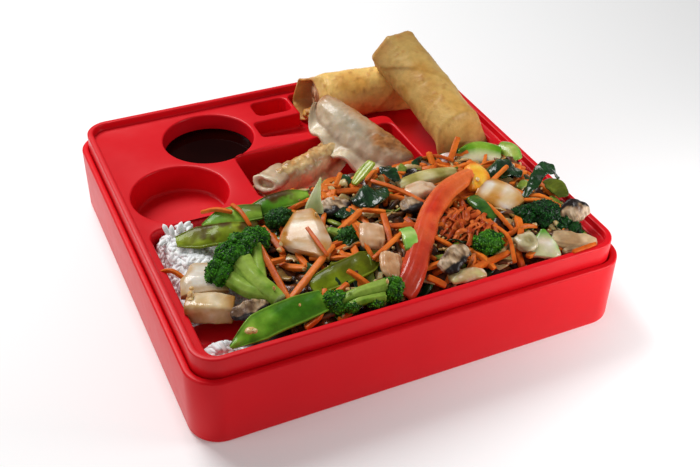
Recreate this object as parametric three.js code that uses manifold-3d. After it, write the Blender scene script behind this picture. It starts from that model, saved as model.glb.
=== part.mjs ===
// A bento box meal: a two-piece red plastic lunch box holding rice with stir-fried vegetables,
// two spring rolls, two fried dumplings and a cup of soy sauce.
// Millimetres, +Z up, +X along the front edge, +Y to the back, origin at the centre of the base.
import * as THREE from 'three';
import { mergeVertices } from 'three/addons/utils/BufferGeometryUtils.js';
import Module from 'manifold-3d';

const wasm = await Module();
wasm.setup();

// ---------------------------------------------------------------- driving dimensions

const GAP = 0.3;

const BOX = { width: 250, depth: 242, height: 41.3, wall: 4, floor: 3, corner: 17, edge: 1.6 };

const RIM = { inset: 4.3, top: 52.4, width: 3.6, corner: 14, skirt: 34 };
const DECK = { top: 48.2, thick: 2.2 };
const SHELL = 2;

const MAIN = { x0: -112.3, x1: 112, y0: -109.5, y1: -1.5, floor: 5.4, corner: 8 };
const GYOZA_POCKET = { x0: -43.3, x1: 62.8, y0: 4.5, y1: 51.7, floor: 20, corner: 5 };
const ROLL_POCKET = { x0: 14, x1: 111.8, y0: 4.5, y1: 109, barX: 65.4, barY: 61.5, floor: 37.5, corner: 6 };
const NOTCH = { x0: -19, y0: 66.5, y1: 84.3 };
const SLOT = { x0: -13, x1: 11.2, y0: 91, y1: 108, floor: 36, corner: 4.5 };
const CUP = { radius: 28.2, floor: 30.5, soyX: -51, soyY: 78.3, emptyX: -85, emptyY: 27.3 };
const SOY = { level: 38 };

// A low bar stands across the front left part of the main pocket.
const BAR = { x1: -80, y0: -89, y1: -72, top: 37 };

const CARROT = { side: 3.1 };
const LEAF_THICK = 1.1;

// ---------------------------------------------------------------- colours

const COLOUR = {
  red: 0xd8232f,
  soy: 0x160604,
  wrapper: 0xc89f5e,
  dumpling: 0xc9aa84,
  rice: 0xe9e4e6,
  carrot: 0xd9793a,
  pea: 0x5d9a2c,
  broccoli: 0x1f5a22,
  stem: 0x8fb55a,
  pale: 0xdccfb2,
  mushroom: 0xb89a78,
  pepper: 0xd9482b,
  yellow: 0xe9a63a,
  leaf: 0x123d26,
  bamboo: 0xb59a6c,
};

// ---------------------------------------------------------------- solids

// Turns a closed three.js geometry into a solid for cutting and joining.
function solid(geometry) {
  const bare = geometry.clone();
  bare.deleteAttribute('normal');
  bare.deleteAttribute('uv');
  const merged = mergeVertices(bare, 1e-4);
  const made = new wasm.Manifold(new wasm.Mesh({
    numProp: 3,
    vertProperties: new Float32Array(merged.attributes.position.array),
    triVerts: new Uint32Array(merged.index.array),
  }));
  return made;
}

// Turns a solid back into a three.js geometry.
function geometryOf(body) {
  const mesh = body.getMesh();
  const geometry = new THREE.BufferGeometry();
  geometry.setAttribute('position', new THREE.BufferAttribute(mesh.vertProperties, 3));
  geometry.setIndex(new THREE.BufferAttribute(mesh.triVerts, 1));
  geometry.computeVertexNormals();
  return geometry;
}

// Keeps the largest piece of a solid that a cut has broken up.
function largest(body) {
  const parts = body.decompose();
  parts.sort((a, b) => b.volume() - a.volume());
  return parts[0];
}

// A small repeatable random generator.
function seeded(seed) {
  let state = seed >>> 0;
  return () => {
    state = (state + 0x6d2b79f5) >>> 0;
    let t = state;
    t = Math.imul(t ^ (t >>> 15), t | 1);
    t ^= t + Math.imul(t ^ (t >>> 7), t | 61);
    return ((t ^ (t >>> 14)) >>> 0) / 4294967296;
  };
}

// Closes a stack of equal rings of points into one body.
function loft(rings) {
  const count = rings[0].length;
  const positions = rings.flat().flatMap((p) => [p.x, p.y, p.z]);
  const index = [];
  for (let r = 0; r < rings.length - 1; r += 1) {
    for (let k = 0; k < count; k += 1) {
      const next = (k + 1) % count;
      const a = r * count + k;
      const b = r * count + next;
      const c = (r + 1) * count + next;
      const d = (r + 1) * count + k;
      index.push(a, b, c, a, c, d);
    }
  }
  for (const [ring, flip] of [[0, true], [rings.length - 1, false]]) {
    const centre = rings[ring].reduce((sum, p) => sum.add(p), new THREE.Vector3());
    centre.divideScalar(count);
    const middle = positions.length / 3;
    positions.push(centre.x, centre.y, centre.z);
    for (let k = 0; k < count; k += 1) {
      const a = ring * count + k;
      const b = ring * count + ((k + 1) % count);
      index.push(...(flip ? [middle, b, a] : [middle, a, b]));
    }
  }
  return outward(positions, index);
}

// Builds an indexed geometry whose faces point outwards.
function outward(positions, index) {
  const at = (i) => new THREE.Vector3(...positions.slice(3 * i, 3 * i + 3));
  let volume = 0;
  for (let t = 0; t < index.length; t += 3) {
    volume += at(index[t]).dot(at(index[t + 1]).cross(at(index[t + 2])));
  }
  if (volume < 0) {
    for (let t = 0; t < index.length; t += 3) {
      [index[t], index[t + 1]] = [index[t + 1], index[t]];
    }
  }
  const geometry = new THREE.BufferGeometry();
  geometry.setAttribute('position', new THREE.Float32BufferAttribute(positions, 3));
  geometry.setIndex(index);
  return geometry;
}

const vector = (p) => new THREE.Vector3(...p);

// ---------------------------------------------------------------- box and tray

// An outline with rounded corners; each corner is [x, y, radius], anticlockwise.
function roundedOutline(corners) {
  const shape = new THREE.Shape();
  corners.forEach(([x, y, radius], k) => {
    const [px, py] = corners[(k + corners.length - 1) % corners.length];
    const [nx, ny] = corners[(k + 1) % corners.length];
    const back = new THREE.Vector2(px - x, py - y).normalize();
    const ahead = new THREE.Vector2(nx - x, ny - y).normalize();
    const reach = radius / Math.tan(Math.acos(back.dot(ahead)) / 2);
    const start = back.clone().multiplyScalar(reach).add(new THREE.Vector2(x, y));
    const end = ahead.clone().multiplyScalar(reach).add(new THREE.Vector2(x, y));
    const middle = back.clone().add(ahead).normalize();
    const centre = middle.multiplyScalar(Math.hypot(reach, radius)).add(new THREE.Vector2(x, y));
    const from = Math.atan2(start.y - centre.y, start.x - centre.x);
    const to = Math.atan2(end.y - centre.y, end.x - centre.x);
    const clockwise = back.cross(ahead) > 0;
    shape.absarc(centre.x, centre.y, radius, from, to, clockwise);
  });
  shape.closePath();
  return shape;
}

function rectangle(x0, x1, y0, y1, radius) {
  return roundedOutline([[x0, y0, radius], [x1, y0, radius], [x1, y1, radius], [x0, y1, radius]]);
}

function prism(shape, z0, z1, arcSteps = 4) {
  const geometry = new THREE.ExtrudeGeometry(shape, {
    depth: z1 - z0, bevelEnabled: false, curveSegments: arcSteps,
  });
  geometry.translate(0, 0, z0);
  return solid(geometry);
}

function block(halfX, halfY, radius, z0, z1, arcSteps) {
  return prism(rectangle(-halfX, halfX, -halfY, halfY, radius), z0, z1, arcSteps);
}

function drum(x, y, radius, z0, z1, sides = 24) {
  const geometry = new THREE.CylinderGeometry(radius, radius, z1 - z0, sides);
  geometry.rotateX(Math.PI / 2);
  geometry.translate(x, y, (z0 + z1) / 2);
  return solid(geometry);
}

// Rings of a rounded rectangle at several heights: each level is [z, inset].
function roundedStack(halfX, halfY, radius, levels, arcSteps = 4) {
  return solid(loft(levels.map(([z, inset]) => {
    const outline = rectangle(inset - halfX, halfX - inset, inset - halfY, halfY - inset, radius - inset);
    const points = outline.getPoints(arcSteps);
    const open = points[0].distanceTo(points[points.length - 1]) < 1e-6 ? points.slice(0, -1) : points;
    return open.map((p) => new THREE.Vector3(p.x, p.y, z));
  })));
}

function outerBox() {
  const halfX = BOX.width / 2;
  const halfY = BOX.depth / 2;
  const shell = roundedStack(halfX, halfY, BOX.corner, [
    [0, BOX.edge],
    [BOX.edge * 0.4, BOX.edge * 0.35],
    [BOX.edge, 0],
    [BOX.height - BOX.edge / 2, 0],
    [BOX.height, BOX.edge / 2],
  ]);
  const cavity = block(
    halfX - BOX.wall, halfY - BOX.wall, BOX.corner - BOX.wall, BOX.floor, BOX.height + 10,
  );
  return shell.subtract(cavity);
}

// The L-shaped pocket that holds the spring rolls, with its finger notch at the left.
function rollOutline(grow) {
  const p = ROLL_POCKET;
  const r = p.corner + grow;
  const inner = Math.max(p.corner - grow, 1);
  return roundedOutline([
    [NOTCH.x0 - grow, NOTCH.y0 - grow, 3 + grow],
    [6, p.barY - grow, 12],
    [p.barX - grow, p.barY - grow, inner],
    [p.barX - grow, p.y0 - grow, r - 2],
    [p.x1 + grow, p.y0 - grow, r],
    [p.x1 + grow, p.y1 + grow, r],
    [p.x0 - grow, p.y1 + grow, r - 2],
    [p.x0 - grow, NOTCH.y1 + grow, 1.5],
    [NOTCH.x0 - grow, NOTCH.y1 + grow, 3 + grow],
  ]);
}

function pocketOutline(p, grow) {
  return rectangle(p.x0 - grow, p.x1 + grow, p.y0 - grow, p.y1 + grow, p.corner + grow);
}

function tray() {
  const halfX = BOX.width / 2 - RIM.inset;
  const halfY = BOX.depth / 2 - RIM.inset;
  const top = RIM.top + 5;
  let body = roundedStack(halfX, halfY, RIM.corner, [
    [RIM.skirt, 0],
    [RIM.top - 1, 0],
    [RIM.top, 1],
  ]);
  const under = DECK.top - DECK.thick;
  body = body.subtract(block(halfX - 2.4, halfY - 2.4, RIM.corner - 2.4, RIM.skirt - 5, under));
  const boxes = [
    [MAIN, MAIN.floor],
    [GYOZA_POCKET, GYOZA_POCKET.floor],
    [SLOT, SLOT.floor],
  ];
  for (const [p, floor] of boxes) {
    body = body.add(prism(pocketOutline(p, SHELL), floor - SHELL, DECK.top - 1, 2));
  }
  body = body.add(prism(rollOutline(SHELL), ROLL_POCKET.floor - SHELL, DECK.top - 1, 2));
  for (const [x, y] of [[CUP.soyX, CUP.soyY], [CUP.emptyX, CUP.emptyY]]) {
    body = body.add(drum(x, y, CUP.radius + SHELL + 0.6, CUP.floor - SHELL, DECK.top - 1, 16));
  }
  body = body.subtract(block(halfX - RIM.width, halfY - RIM.width, RIM.corner - RIM.width, DECK.top, top));
  for (const [p, floor] of boxes) {
    body = body.subtract(prism(pocketOutline(p, 0), floor, top));
  }
  body = body.subtract(prism(rollOutline(0), ROLL_POCKET.floor, top));
  for (const [x, y] of [[CUP.soyX, CUP.soyY], [CUP.emptyX, CUP.emptyY]]) {
    body = body.subtract(drum(x, y, CUP.radius, CUP.floor, top));
  }
  const bar = rectangle(MAIN.x0 - 1, BAR.x1, BAR.y0, BAR.y1, 2);
  return body.add(prism(bar, MAIN.floor - 1, BAR.top, 2));
}

function soySauce() {
  return drum(CUP.soyX, CUP.soyY, CUP.radius - GAP, CUP.floor + GAP, SOY.level);
}

// ---------------------------------------------------------------- shapes of the food

// The frame of a path at t: its point, the sideways and the upward direction.
// grow moves the two ends of the path outwards.
function frameAt(curve, t, roll, grow) {
  const tangent = curve.getTangent(t).normalize();
  const point = curve.getPoint(t).addScaledVector(tangent, grow * (t === 0 ? -1 : Math.floor(t)));
  const flat = Math.abs(tangent.z) > 0.93 ? new THREE.Vector3(0, 1, 0) : new THREE.Vector3(0, 0, 1);
  const side = tangent.clone().cross(flat).normalize();
  side.applyAxisAngle(tangent, -THREE.MathUtils.degToRad(roll));
  return { point, side, up: side.clone().cross(tangent).normalize() };
}

function pathOf(points) {
  return new THREE.CatmullRomCurve3(points.map(vector), false, 'centripetal');
}

// A stick, pod, stem or roll: a rounded section swept along a path.
// blunt is the section's size at the two ends, and square runs from 0, round, to 1, square.
function limb(o, grow = 0) {
  const { path, width, thick = width, sides = 6, steps = 3, blunt = [0.7, 0.7], square = 0, roll = 0 } = o;
  const curve = pathOf(path);
  const rings = [];
  for (let s = 0; s <= steps; s += 1) {
    const t = s / steps;
    const f = frameAt(curve, t, roll, grow);
    const end = t < 0.5 ? blunt[0] : blunt[1];
    const swell = end + (1 - end) * Math.min(1, Math.sin(Math.PI * t) * 1.25);
    const ring = [];
    for (let k = 0; k < sides; k += 1) {
      const a = (2 * Math.PI * (k + 0.5)) / sides;
      const reach = 1 + square * (1 / Math.max(Math.abs(Math.cos(a)), Math.abs(Math.sin(a))) - 1);
      const x = Math.cos(a) * reach * (width / 2 * swell + grow);
      const y = Math.sin(a) * reach * (thick / 2 * swell + grow);
      ring.push(f.point.clone().addScaledVector(f.side, x).addScaledVector(f.up, y));
    }
    rings.push(ring);
  }
  return solid(loft(rings));
}

// An uneven rounded lump: radii are its three half sizes.
function lump(o, grow = 0) {
  const { at, radii, turn = 0, detail = 1, rough = 0.12, seed = 1 } = o;
  const geometry = new THREE.IcosahedronGeometry(1, detail);
  const spot = geometry.attributes.position;
  for (let i = 0; i < spot.count; i += 1) {
    const p = new THREE.Vector3().fromBufferAttribute(spot, i);
    const wave = Math.sin(3.1 * p.x + seed) * Math.sin(2.7 * p.y + 2 * seed) + Math.sin(3.7 * p.z + 3 * seed);
    p.multiplyScalar(1 + (rough * wave) / 2);
    spot.setXYZ(i, p.x * (radii[0] + grow), p.y * (radii[1] + grow), p.z * (radii[2] + grow));
  }
  geometry.rotateZ(THREE.MathUtils.degToRad(turn));
  geometry.translate(...at);
  return solid(geometry);
}

// A leaf, slice or strip: a sheet that follows a path, bent across by arch and wavy by ripple.
function ribbon(o, grow = 0) {
  const {
    path, width, thick = LEAF_THICK, roll = 0, arch = 0, ripple = 0, taper = [0.6, 0.6],
    across = 3, steps = 4,
  } = o;
  const curve = pathOf(path);
  const faces = [[], []];
  for (let s = 0; s <= steps; s += 1) {
    const t = s / steps;
    const f = frameAt(curve, t, roll, grow);
    const end = t < 0.5 ? taper[0] : taper[1];
    const flare = grow * (t === 0 || t === 1 ? 2.2 : 1);
    const half = (width / 2) * (end + (1 - end) * Math.sin(Math.PI * t)) + flare;
    for (let k = 0; k <= across; k += 1) {
      const u = (2 * k) / across - 1;
      const lift = -arch * u * u + ripple * Math.sin(7 * t + 2.4 * u);
      for (const [side, sign] of [[0, 1], [1, -1]]) {
        const out = lift + sign * (thick / 2 + flare);
        faces[side].push(f.point.clone().addScaledVector(f.side, u * half).addScaledVector(f.up, out));
      }
    }
  }
  return solid(outward(...sheetFaces(faces, across, steps)));
}

// Both faces of a sheet, split into triangles alike, and the strip round its edge.
function sheetFaces(faces, across, steps) {
  const row = across + 1;
  const count = row * (steps + 1);
  const index = [];
  for (let s = 0; s < steps; s += 1) {
    for (let k = 0; k < across; k += 1) {
      const a = s * row + k;
      const [b, c, d] = [a + 1, a + row + 1, a + row];
      index.push(a, b, c, a, c, d, count + a, count + c, count + b, count + a, count + d, count + c);
    }
  }
  const edge = [];
  for (let k = 0; k < across; k += 1) edge.push(k);
  for (let s = 0; s < steps; s += 1) edge.push(s * row + across);
  for (let k = across; k > 0; k -= 1) edge.push(steps * row + k);
  for (let s = steps; s > 0; s -= 1) edge.push(s * row);
  edge.forEach((a, k) => {
    const b = edge[(k + 1) % edge.length];
    index.push(b, a, count + a, b, count + a, count + b);
  });
  return [faces.flat().flatMap((p) => [p.x, p.y, p.z]), index];
}

// A bed of food: a block whose top follows height(x, y), over the rectangle given.
function bed({ x0, x1, y0, y1, floor, cell, height }) {
  const across = Math.round((x1 - x0) / cell);
  const along = Math.round((y1 - y0) / cell);
  const top = [];
  const index = [];
  for (let j = 0; j <= along; j += 1) {
    for (let i = 0; i <= across; i += 1) {
      const x = x0 + ((x1 - x0) * i) / across;
      const y = y0 + ((y1 - y0) * j) / along;
      top.push(new THREE.Vector3(x, y, height(x, y)));
    }
  }
  const row = across + 1;
  for (let j = 0; j < along; j += 1) {
    for (let i = 0; i < across; i += 1) {
      const a = j * row + i;
      index.push(a, a + 1, a + row + 1, a, a + row + 1, a + row);
    }
  }
  const edge = [];
  for (let i = 0; i < across; i += 1) edge.push(i);
  for (let j = 0; j < along; j += 1) edge.push(j * row + across);
  for (let i = across; i > 0; i -= 1) edge.push(along * row + i);
  for (let j = along; j > 0; j -= 1) edge.push(j * row);
  const base = top.length;
  const foot = edge.map((k) => top[k].clone().setZ(floor));
  edge.forEach((a, k) => {
    const next = (k + 1) % edge.length;
    index.push(edge[next], a, base + k, edge[next], base + k, base + next);
    index.push(base + edge.length, base + next, base + k);
  });
  const middle = new THREE.Vector3((x0 + x1) / 2, (y0 + y1) / 2, floor);
  return solid(outward([...top, ...foot, middle].flatMap((p) => [p.x, p.y, p.z]), index));
}

// ---------------------------------------------------------------- rolls and dumplings

const ROLL = { radius: 15.2, squash: 0.96, sides: 14 };
const ROLLS = {
  spring_roll_back: { path: [[15, 92.5, 52.6], [57, 87.5, 52.6], [97, 82, 52.6]], open: true },
  spring_roll_top: { path: [[79.5, 85.5, 81.3], [86.5, 44, 66.8], [92.6, 4.5, 52.8]], open: false },
};

function springRoll({ path, open }, grow = 0) {
  const roll = limb({
    path, width: 2 * ROLL.radius, thick: 2 * ROLL.radius * ROLL.squash, sides: ROLL.sides, steps: 4,
    blunt: [open ? 0.97 : 1.12, 0.98], square: open ? 0 : 0.1,
  }, grow);
  if (!open || grow) return roll;
  const [x, y, z] = path[0];
  const mouth = limb({
    path: [[x - 4, y + 0.5, z + 2.5], [x + 9, y - 1, z + 2.5]], width: 20, thick: 18, sides: 10, steps: 2,
    blunt: [1, 0.8],
  });
  const curl = limb({
    path: [[x - 4, y - 7, z - 10], [x + 6, y - 8, z - 10]], width: 7, thick: 5, steps: 1, blunt: [1, 1],
  });
  return roll.subtract(mouth).subtract(curl);
}

// A half-moon dumpling. Its flat base lies along from-to, its frilled seam stands out along seam.
function dumpling({ from, to, seam, depth, belly, frill = 2.2 }, grow = 0) {
  const a = vector(from);
  const b = vector(to);
  const axis = b.clone().sub(a).normalize();
  const out = vector(seam).addScaledVector(axis, -vector(seam).dot(axis)).normalize();
  const face = out.clone().cross(axis).normalize();
  const stops = [[0, 0.7], [0.1, 0.92], [0.28, 1], [0.5, 0.82], [0.66, 0.4], [0.78, 0.13], [1, 0.11]];
  const steps = 10;
  const rings = [];
  for (let s = 0; s <= steps; s += 1) {
    const u = -0.985 + (1.97 * s) / steps;
    const round = Math.sqrt(1 - u * u);
    const reach = 5 + (depth - 5) * round ** 0.8;
    const middle = a.clone().lerp(b, (u + 1) / 2);
    const ring = [];
    const spot = (v, w, sign) => {
      const wave = v > 0.7 ? frill * Math.sin(u * 13) * (v - 0.6) * 2.2 : 0;
      const half = Math.max(1.2, belly * w * round ** 0.7) + grow;
      const f = v * reach + (v < 0.05 ? -grow : v * grow);
      return middle.clone().addScaledVector(out, f).addScaledVector(face, sign * half + wave);
    };
    stops.forEach(([v, w]) => ring.push(spot(v, w, 1)));
    [...stops].reverse().forEach(([v, w]) => ring.push(spot(v, w, -1)));
    rings.push(ring);
  }
  return solid(loft(rings));
}

const DUMPLINGS = {
  dumpling_top: {
    from: [25.5, 71.5, 64.5], to: [58, 7.5, 46.5], seam: [-1, -0.1, -0.12], depth: 32, belly: 10.5,
  },
  dumpling_low: {
    from: [-43, 20, 47], to: [24, 47, 49], seam: [0.15, -0.75, -0.6], depth: 23, belly: 9.5,
  },
};

// ---------------------------------------------------------------- the vegetables

const FILL = {
  x0: MAIN.x0 + GAP,
  x1: MAIN.x1 - GAP,
  y0: MAIN.y0 + GAP,
  y1: MAIN.y1 - GAP,
  floor: MAIN.floor + GAP,
};
const RICE_EDGE = -66;

function hill(x, y, [cx, cy], [rx, ry], lift) {
  return lift * Math.exp(-(((x - cx) / rx) ** 2) - ((y - cy) / ry) ** 2);
}

function heapHeight(x, y) {
  const ease = THREE.MathUtils.smoothstep;
  const front = ease(y, -112, -80);
  const back = 0.4 + 0.6 * ease(-y, 0, 14);
  const left = 0.25 + 0.75 * ease(x, -70, -22);
  const right = 0.55 + 0.45 * ease(-x, -112, -96);
  const bumps = 1.2 * Math.sin(x * 0.31 + 1) * Math.sin(y * 0.37) + 0.8 * Math.sin(x * 0.63 + y * 0.5);
  return 46.4 + 11.2 * front * back * left * right + bumps;
}

function riceHeight(x, y) {
  const mound = hill(x, y, [-97, -15], [20, 22], 16);
  const side = hill(x, y, [-90, -48], [22, 22], 13);
  const middle = hill(x, y, [-70, -80], [9, 20], 13);
  const corner = hill(x, y, [-104, -100], [12, 9], 13);
  const hollow = hill(x, y, [-98, -80], [20, 12], -9);
  const grains = 0.8 * Math.sin(x * 1.5 + 0.4 * y) + 0.8 * Math.sin(y * 1.4 - 0.5 * x);
  return 34 + mound + side + middle + corner + hollow + grains;
}

const BROCCOLI = {
  broccoli_left: {
    heads: [[[-64, -41, 57], [8, 8, 7]], [[-77, -50, 58], [11, 9, 8.5]], [[-89, -58, 54], [9, 8, 8]]],
    stems: [
      { path: [[-69, -89, 53], [-74, -75, 55], [-77, -62, 56]], width: 9, blunt: [0.8, 1.2] },
      { path: [[-73, -82, 53], [-82, -73, 53], [-87, -62, 53]], width: 6, blunt: [0.8, 1.2] },
    ],
  },
  broccoli_front: {
    heads: [[[-43, -99, 49], [8, 7, 8]], [[-12, -103, 52], [7, 6, 7]]],
    stems: [
      { path: [[-41, -104, 50], [-30, -102, 54], [-16, -103, 55]], width: 6, blunt: [0.8, 1.1] },
      { path: [[-40, -107, 50], [-29, -107, 52], [-19, -108, 52]], width: 5, blunt: [0.8, 1.1] },
    ],
  },
  broccoli_right: {
    heads: [[[83, -79, 55], [9, 8, 7]], [[93, -84, 56], [10, 9, 8]], [[102, -90, 53], [7, 7, 7]]],
    stems: [{ path: [[73, -92, 50], [80, -86, 52], [87, -83, 53]], width: 7, blunt: [0.8, 1.1] }],
  },
  broccoli_small: { heads: [[[50, -92, 56], [9, 8, 7]]], stems: [] },
  broccoli_back: {
    heads: [[[-45, -29, 56], [8, 7, 6]]],
    stems: [{ path: [[-40, -20, 54], [-45, -29, 54]], width: 5 }],
  },
  broccoli_middle: {
    heads: [[[-18, -61, 57], [7, 7, 6]]],
    stems: [{ path: [[-27, -52, 58], [-20, -58, 58]], width: 6 }],
  },
};

function broccoli({ heads, stems }, grow = 0) {
  let body = null;
  heads.forEach(([at, radii], k) => {
    const head = lump({ at, radii, rough: 0.16, seed: k + 2 }, grow);
    body = body ? body.add(head) : head;
  });
  for (const stem of stems) body = body.add(limb({ sides: 5, steps: 2, ...stem }, grow));
  return body;
}

// Each entry is [shape, measures, colour]. Earlier pieces lie over later ones.
const PIECES = {
  leaf_tall: [ribbon, {
    path: [[88, -67, 58], [97, -63, 65], [103, -63, 74], [109, -65, 67]], width: 10, taper: [0.6, 0.3],
    steps: 6,
  }, COLOUR.leaf],
  pepper_red: [ribbon, {
    path: [[-9, -107, 51], [-1, -99, 57], [15, -81, 62], [34, -63, 65], [55, -49, 67], [68, -42, 67]],
    width: 15, thick: 3.6, arch: 2.5, roll: -22, taper: [0.9, 0.7], steps: 8,
  }, COLOUR.pepper],
  pepper_yellow: [ribbon, {
    path: [[72, -36, 66], [70, -45, 65], [65, -54, 61]], width: 15, thick: 3.4, arch: 2, taper: [0.7, 0.6],
  }, COLOUR.yellow],
  leek_point: [ribbon, {
    path: [[-27, -35, 59], [-24, -31, 66], [-20, -26, 74]], width: 11, thick: 1.6, taper: [0.9, 0.1],
  }, COLOUR.pale],
  bok_choy_centre: [ribbon, {
    path: [[-33, -36, 62], [-40, -50, 61], [-45, -64, 57]], width: 27, thick: 6, arch: 4, roll: -12,
    across: 4, taper: [0.55, 0.75],
  }, COLOUR.pale],
  bok_choy_fold: [limb, {
    path: [[-110, -69, 47], [-101, -74, 48], [-91, -79, 47]], width: 13, thick: 12, sides: 8,
    blunt: [0.9, 0.8],
  }, COLOUR.pale],
  bok_choy_left: [ribbon, {
    path: [[-100, -66, 50], [-98, -57, 53], [-94, -46, 52]], width: 27, thick: 5, arch: 4, across: 4,
    taper: [0.85, 0.5],
  }, COLOUR.pale],
  snow_pea_front: [limb, {
    path: [[-99, -106, 50], [-82, -101, 52], [-64, -99, 53], [-48, -98, 53.5]], width: 15, thick: 4.5,
    sides: 8, steps: 7, roll: -25, blunt: [0.12, 0.8],
  }, COLOUR.pea],
  snow_pea_middle: [limb, {
    path: [[-50, -86, 53], [-33, -85, 56], [-19, -84, 58], [-8, -79, 58]], width: 14, thick: 4,
    sides: 8, steps: 6, roll: -20, blunt: [0.7, 0.1],
  }, COLOUR.pea],
  snow_pea_left: [limb, {
    path: [[-103, -23, 50], [-82, -27, 53], [-58, -32, 55]], width: 14, thick: 4, sides: 8, steps: 6,
    roll: -18, blunt: [0.15, 0.7],
  }, COLOUR.pea],
  snow_pea_back: [limb, {
    path: [[-85, -16, 54], [-68, -17, 57], [-52, -21, 59]], width: 12, thick: 4, sides: 8, steps: 5,
    roll: -18, blunt: [0.12, 0.8],
  }, COLOUR.pea],
  snow_pea_olive: [limb, {
    path: [[-53, -17, 57], [-38, -14, 60], [-24, -17, 61]], width: 13, thick: 4, sides: 8, steps: 5,
    roll: -22, blunt: [0.7, 0.3],
  }, COLOUR.pea],
  mushroom_right: [limb, {
    path: [[102, -84, 58], [110, -84, 59.5], [116.5, -86, 59.5]], width: 14, thick: 8, blunt: [0.7, 0.6],
  }, COLOUR.mushroom],
  mushroom_front: [limb, {
    path: [[18, -99, 55], [26, -98, 57], [35, -97, 57]], width: 12, thick: 7, roll: -20, blunt: [0.5, 0.6],
  }, COLOUR.mushroom],
  mushroom_left: [limb, {
    path: [[-92, -86, 49], [-83, -88, 52], [-74, -88, 52]], width: 11, thick: 6, roll: -15, blunt: [0.6, 0.5],
  }, COLOUR.mushroom],
  mushroom_back: [lump, { at: [-14, -33, 58.5], radii: [9, 7, 5], seed: 3 }, COLOUR.mushroom],
  mushroom_centre: [lump, { at: [26, -52, 61], radii: [8, 6, 4.5], seed: 5 }, COLOUR.mushroom],
  onion_glazed: [ribbon, {
    path: [[67, -52, 61], [75, -62, 61], [80, -74, 58]], width: 19, thick: 5, arch: 3, roll: -15,
    taper: [0.7, 0.8],
  }, COLOUR.pale],
  bamboo_shoot: [limb, {
    path: [[88, -96, 53], [99, -104, 52], [109.5, -110, 50.5]], width: 13, thick: 6, roll: -20,
    blunt: [0.8, 0.5],
  }, COLOUR.bamboo],
  bamboo_tip: [limb, { path: [[88, -109, 49.5], [99, -111, 49.5]], width: 5, thick: 5 }, COLOUR.bamboo],
  bok_choy_front: [ribbon, {
    path: [[82, -97, 57], [79, -104, 54], [74, -110, 51]], width: 16, thick: 3, arch: 2, taper: [0.3, 0.9],
  }, COLOUR.stem],
  onion_clear: [lump, { at: [70, -97, 54], radii: [7, 6, 6], seed: 4, rough: 0.06 }, COLOUR.pale],
  chestnut_upper: [limb, {
    path: [[-11, -77, 59], [-8, -69, 62], [-5, -61, 63]], width: 14, thick: 6, blunt: [0.8, 0.8],
  }, COLOUR.pale],
  chestnut_lower: [limb, {
    path: [[-10, -99, 56], [-7, -91, 58], [-4, -84, 60]], width: 13, thick: 6, blunt: [0.8, 0.8],
  }, COLOUR.pale],
  chestnut_round: [lump, { at: [35, -43, 61], radii: [10, 8, 5.5], rough: 0.05, seed: 2 }, COLOUR.pale],
  celery_back: [ribbon, {
    path: [[27, -30, 60], [46, -29, 61], [65, -30, 60]], width: 13, thick: 4, arch: 3, taper: [0.7, 0.7],
  }, COLOUR.stem],
  celery_cut: [limb, {
    path: [[11, -70, 61], [10, -78, 61.5], [8, -86, 59]], width: 8, thick: 4, blunt: [0.8, 0.9],
  }, COLOUR.stem],
  pepper_green: [limb, {
    path: [[60, -57, 60], [60, -67, 60], [64, -78, 57]], width: 9, thick: 5, blunt: [0.9, 0.6],
  }, COLOUR.leaf],
  leaf_right: [ribbon, {
    path: [[80, -38, 61], [89, -42, 64], [99, -47, 61]], width: 18, ripple: 1, taper: [0.5, 0.6],
  }, COLOUR.leaf],
  leaf_centre: [ribbon, {
    path: [[-4, -34, 61], [6, -36, 63.5], [17, -34, 63]], width: 18, ripple: 1, taper: [0.5, 0.5],
  }, COLOUR.leaf],
  leaf_small: [ribbon, {
    path: [[-17, -41, 59.5], [-12, -42, 60], [-6, -43, 59.5]], width: 9, ripple: 0.6,
  }, COLOUR.leaf],
  leaf_back: [ribbon, {
    path: [[24, -15, 64], [25, -22, 65], [27, -30, 62.5]], width: 9, ripple: 0.6, taper: [0.5, 0.6],
  }, COLOUR.leaf],
  bok_choy_tip: [ribbon, {
    path: [[3, -20, 60], [11, -17, 63], [19, -13, 64]], width: 9, thick: 2, taper: [0.4, 0.7],
  }, COLOUR.stem],
  bok_choy_right: [ribbon, {
    path: [[77, -13, 58], [89, -17, 59.5], [99, -24, 58.5]], width: 14, thick: 3, arch: 1.5, roll: -20,
    taper: [0.4, 0.8],
  }, COLOUR.stem],
  bok_choy_curl: [ribbon, {
    path: [[102, -15, 58], [105, -22, 59], [105, -31, 57]], width: 13, thick: 2.4, arch: 2, roll: -30,
    taper: [0.9, 0.7],
  }, COLOUR.stem],
  leaf_olive: [ribbon, {
    path: [[109, -57, 59], [112, -64, 58], [112.5, -72, 55]], width: 12, ripple: 0.5,
  }, COLOUR.pea],
  onion_bit: [lump, { at: [67, -14, 57], radii: [5, 4.5, 4], seed: 6 }, COLOUR.pale],
  onion_edge: [limb, {
    path: [[20, -106, 50], [30, -107, 51.5], [40, -108, 50]], width: 9, thick: 4.5,
  }, COLOUR.pale],
};

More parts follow.
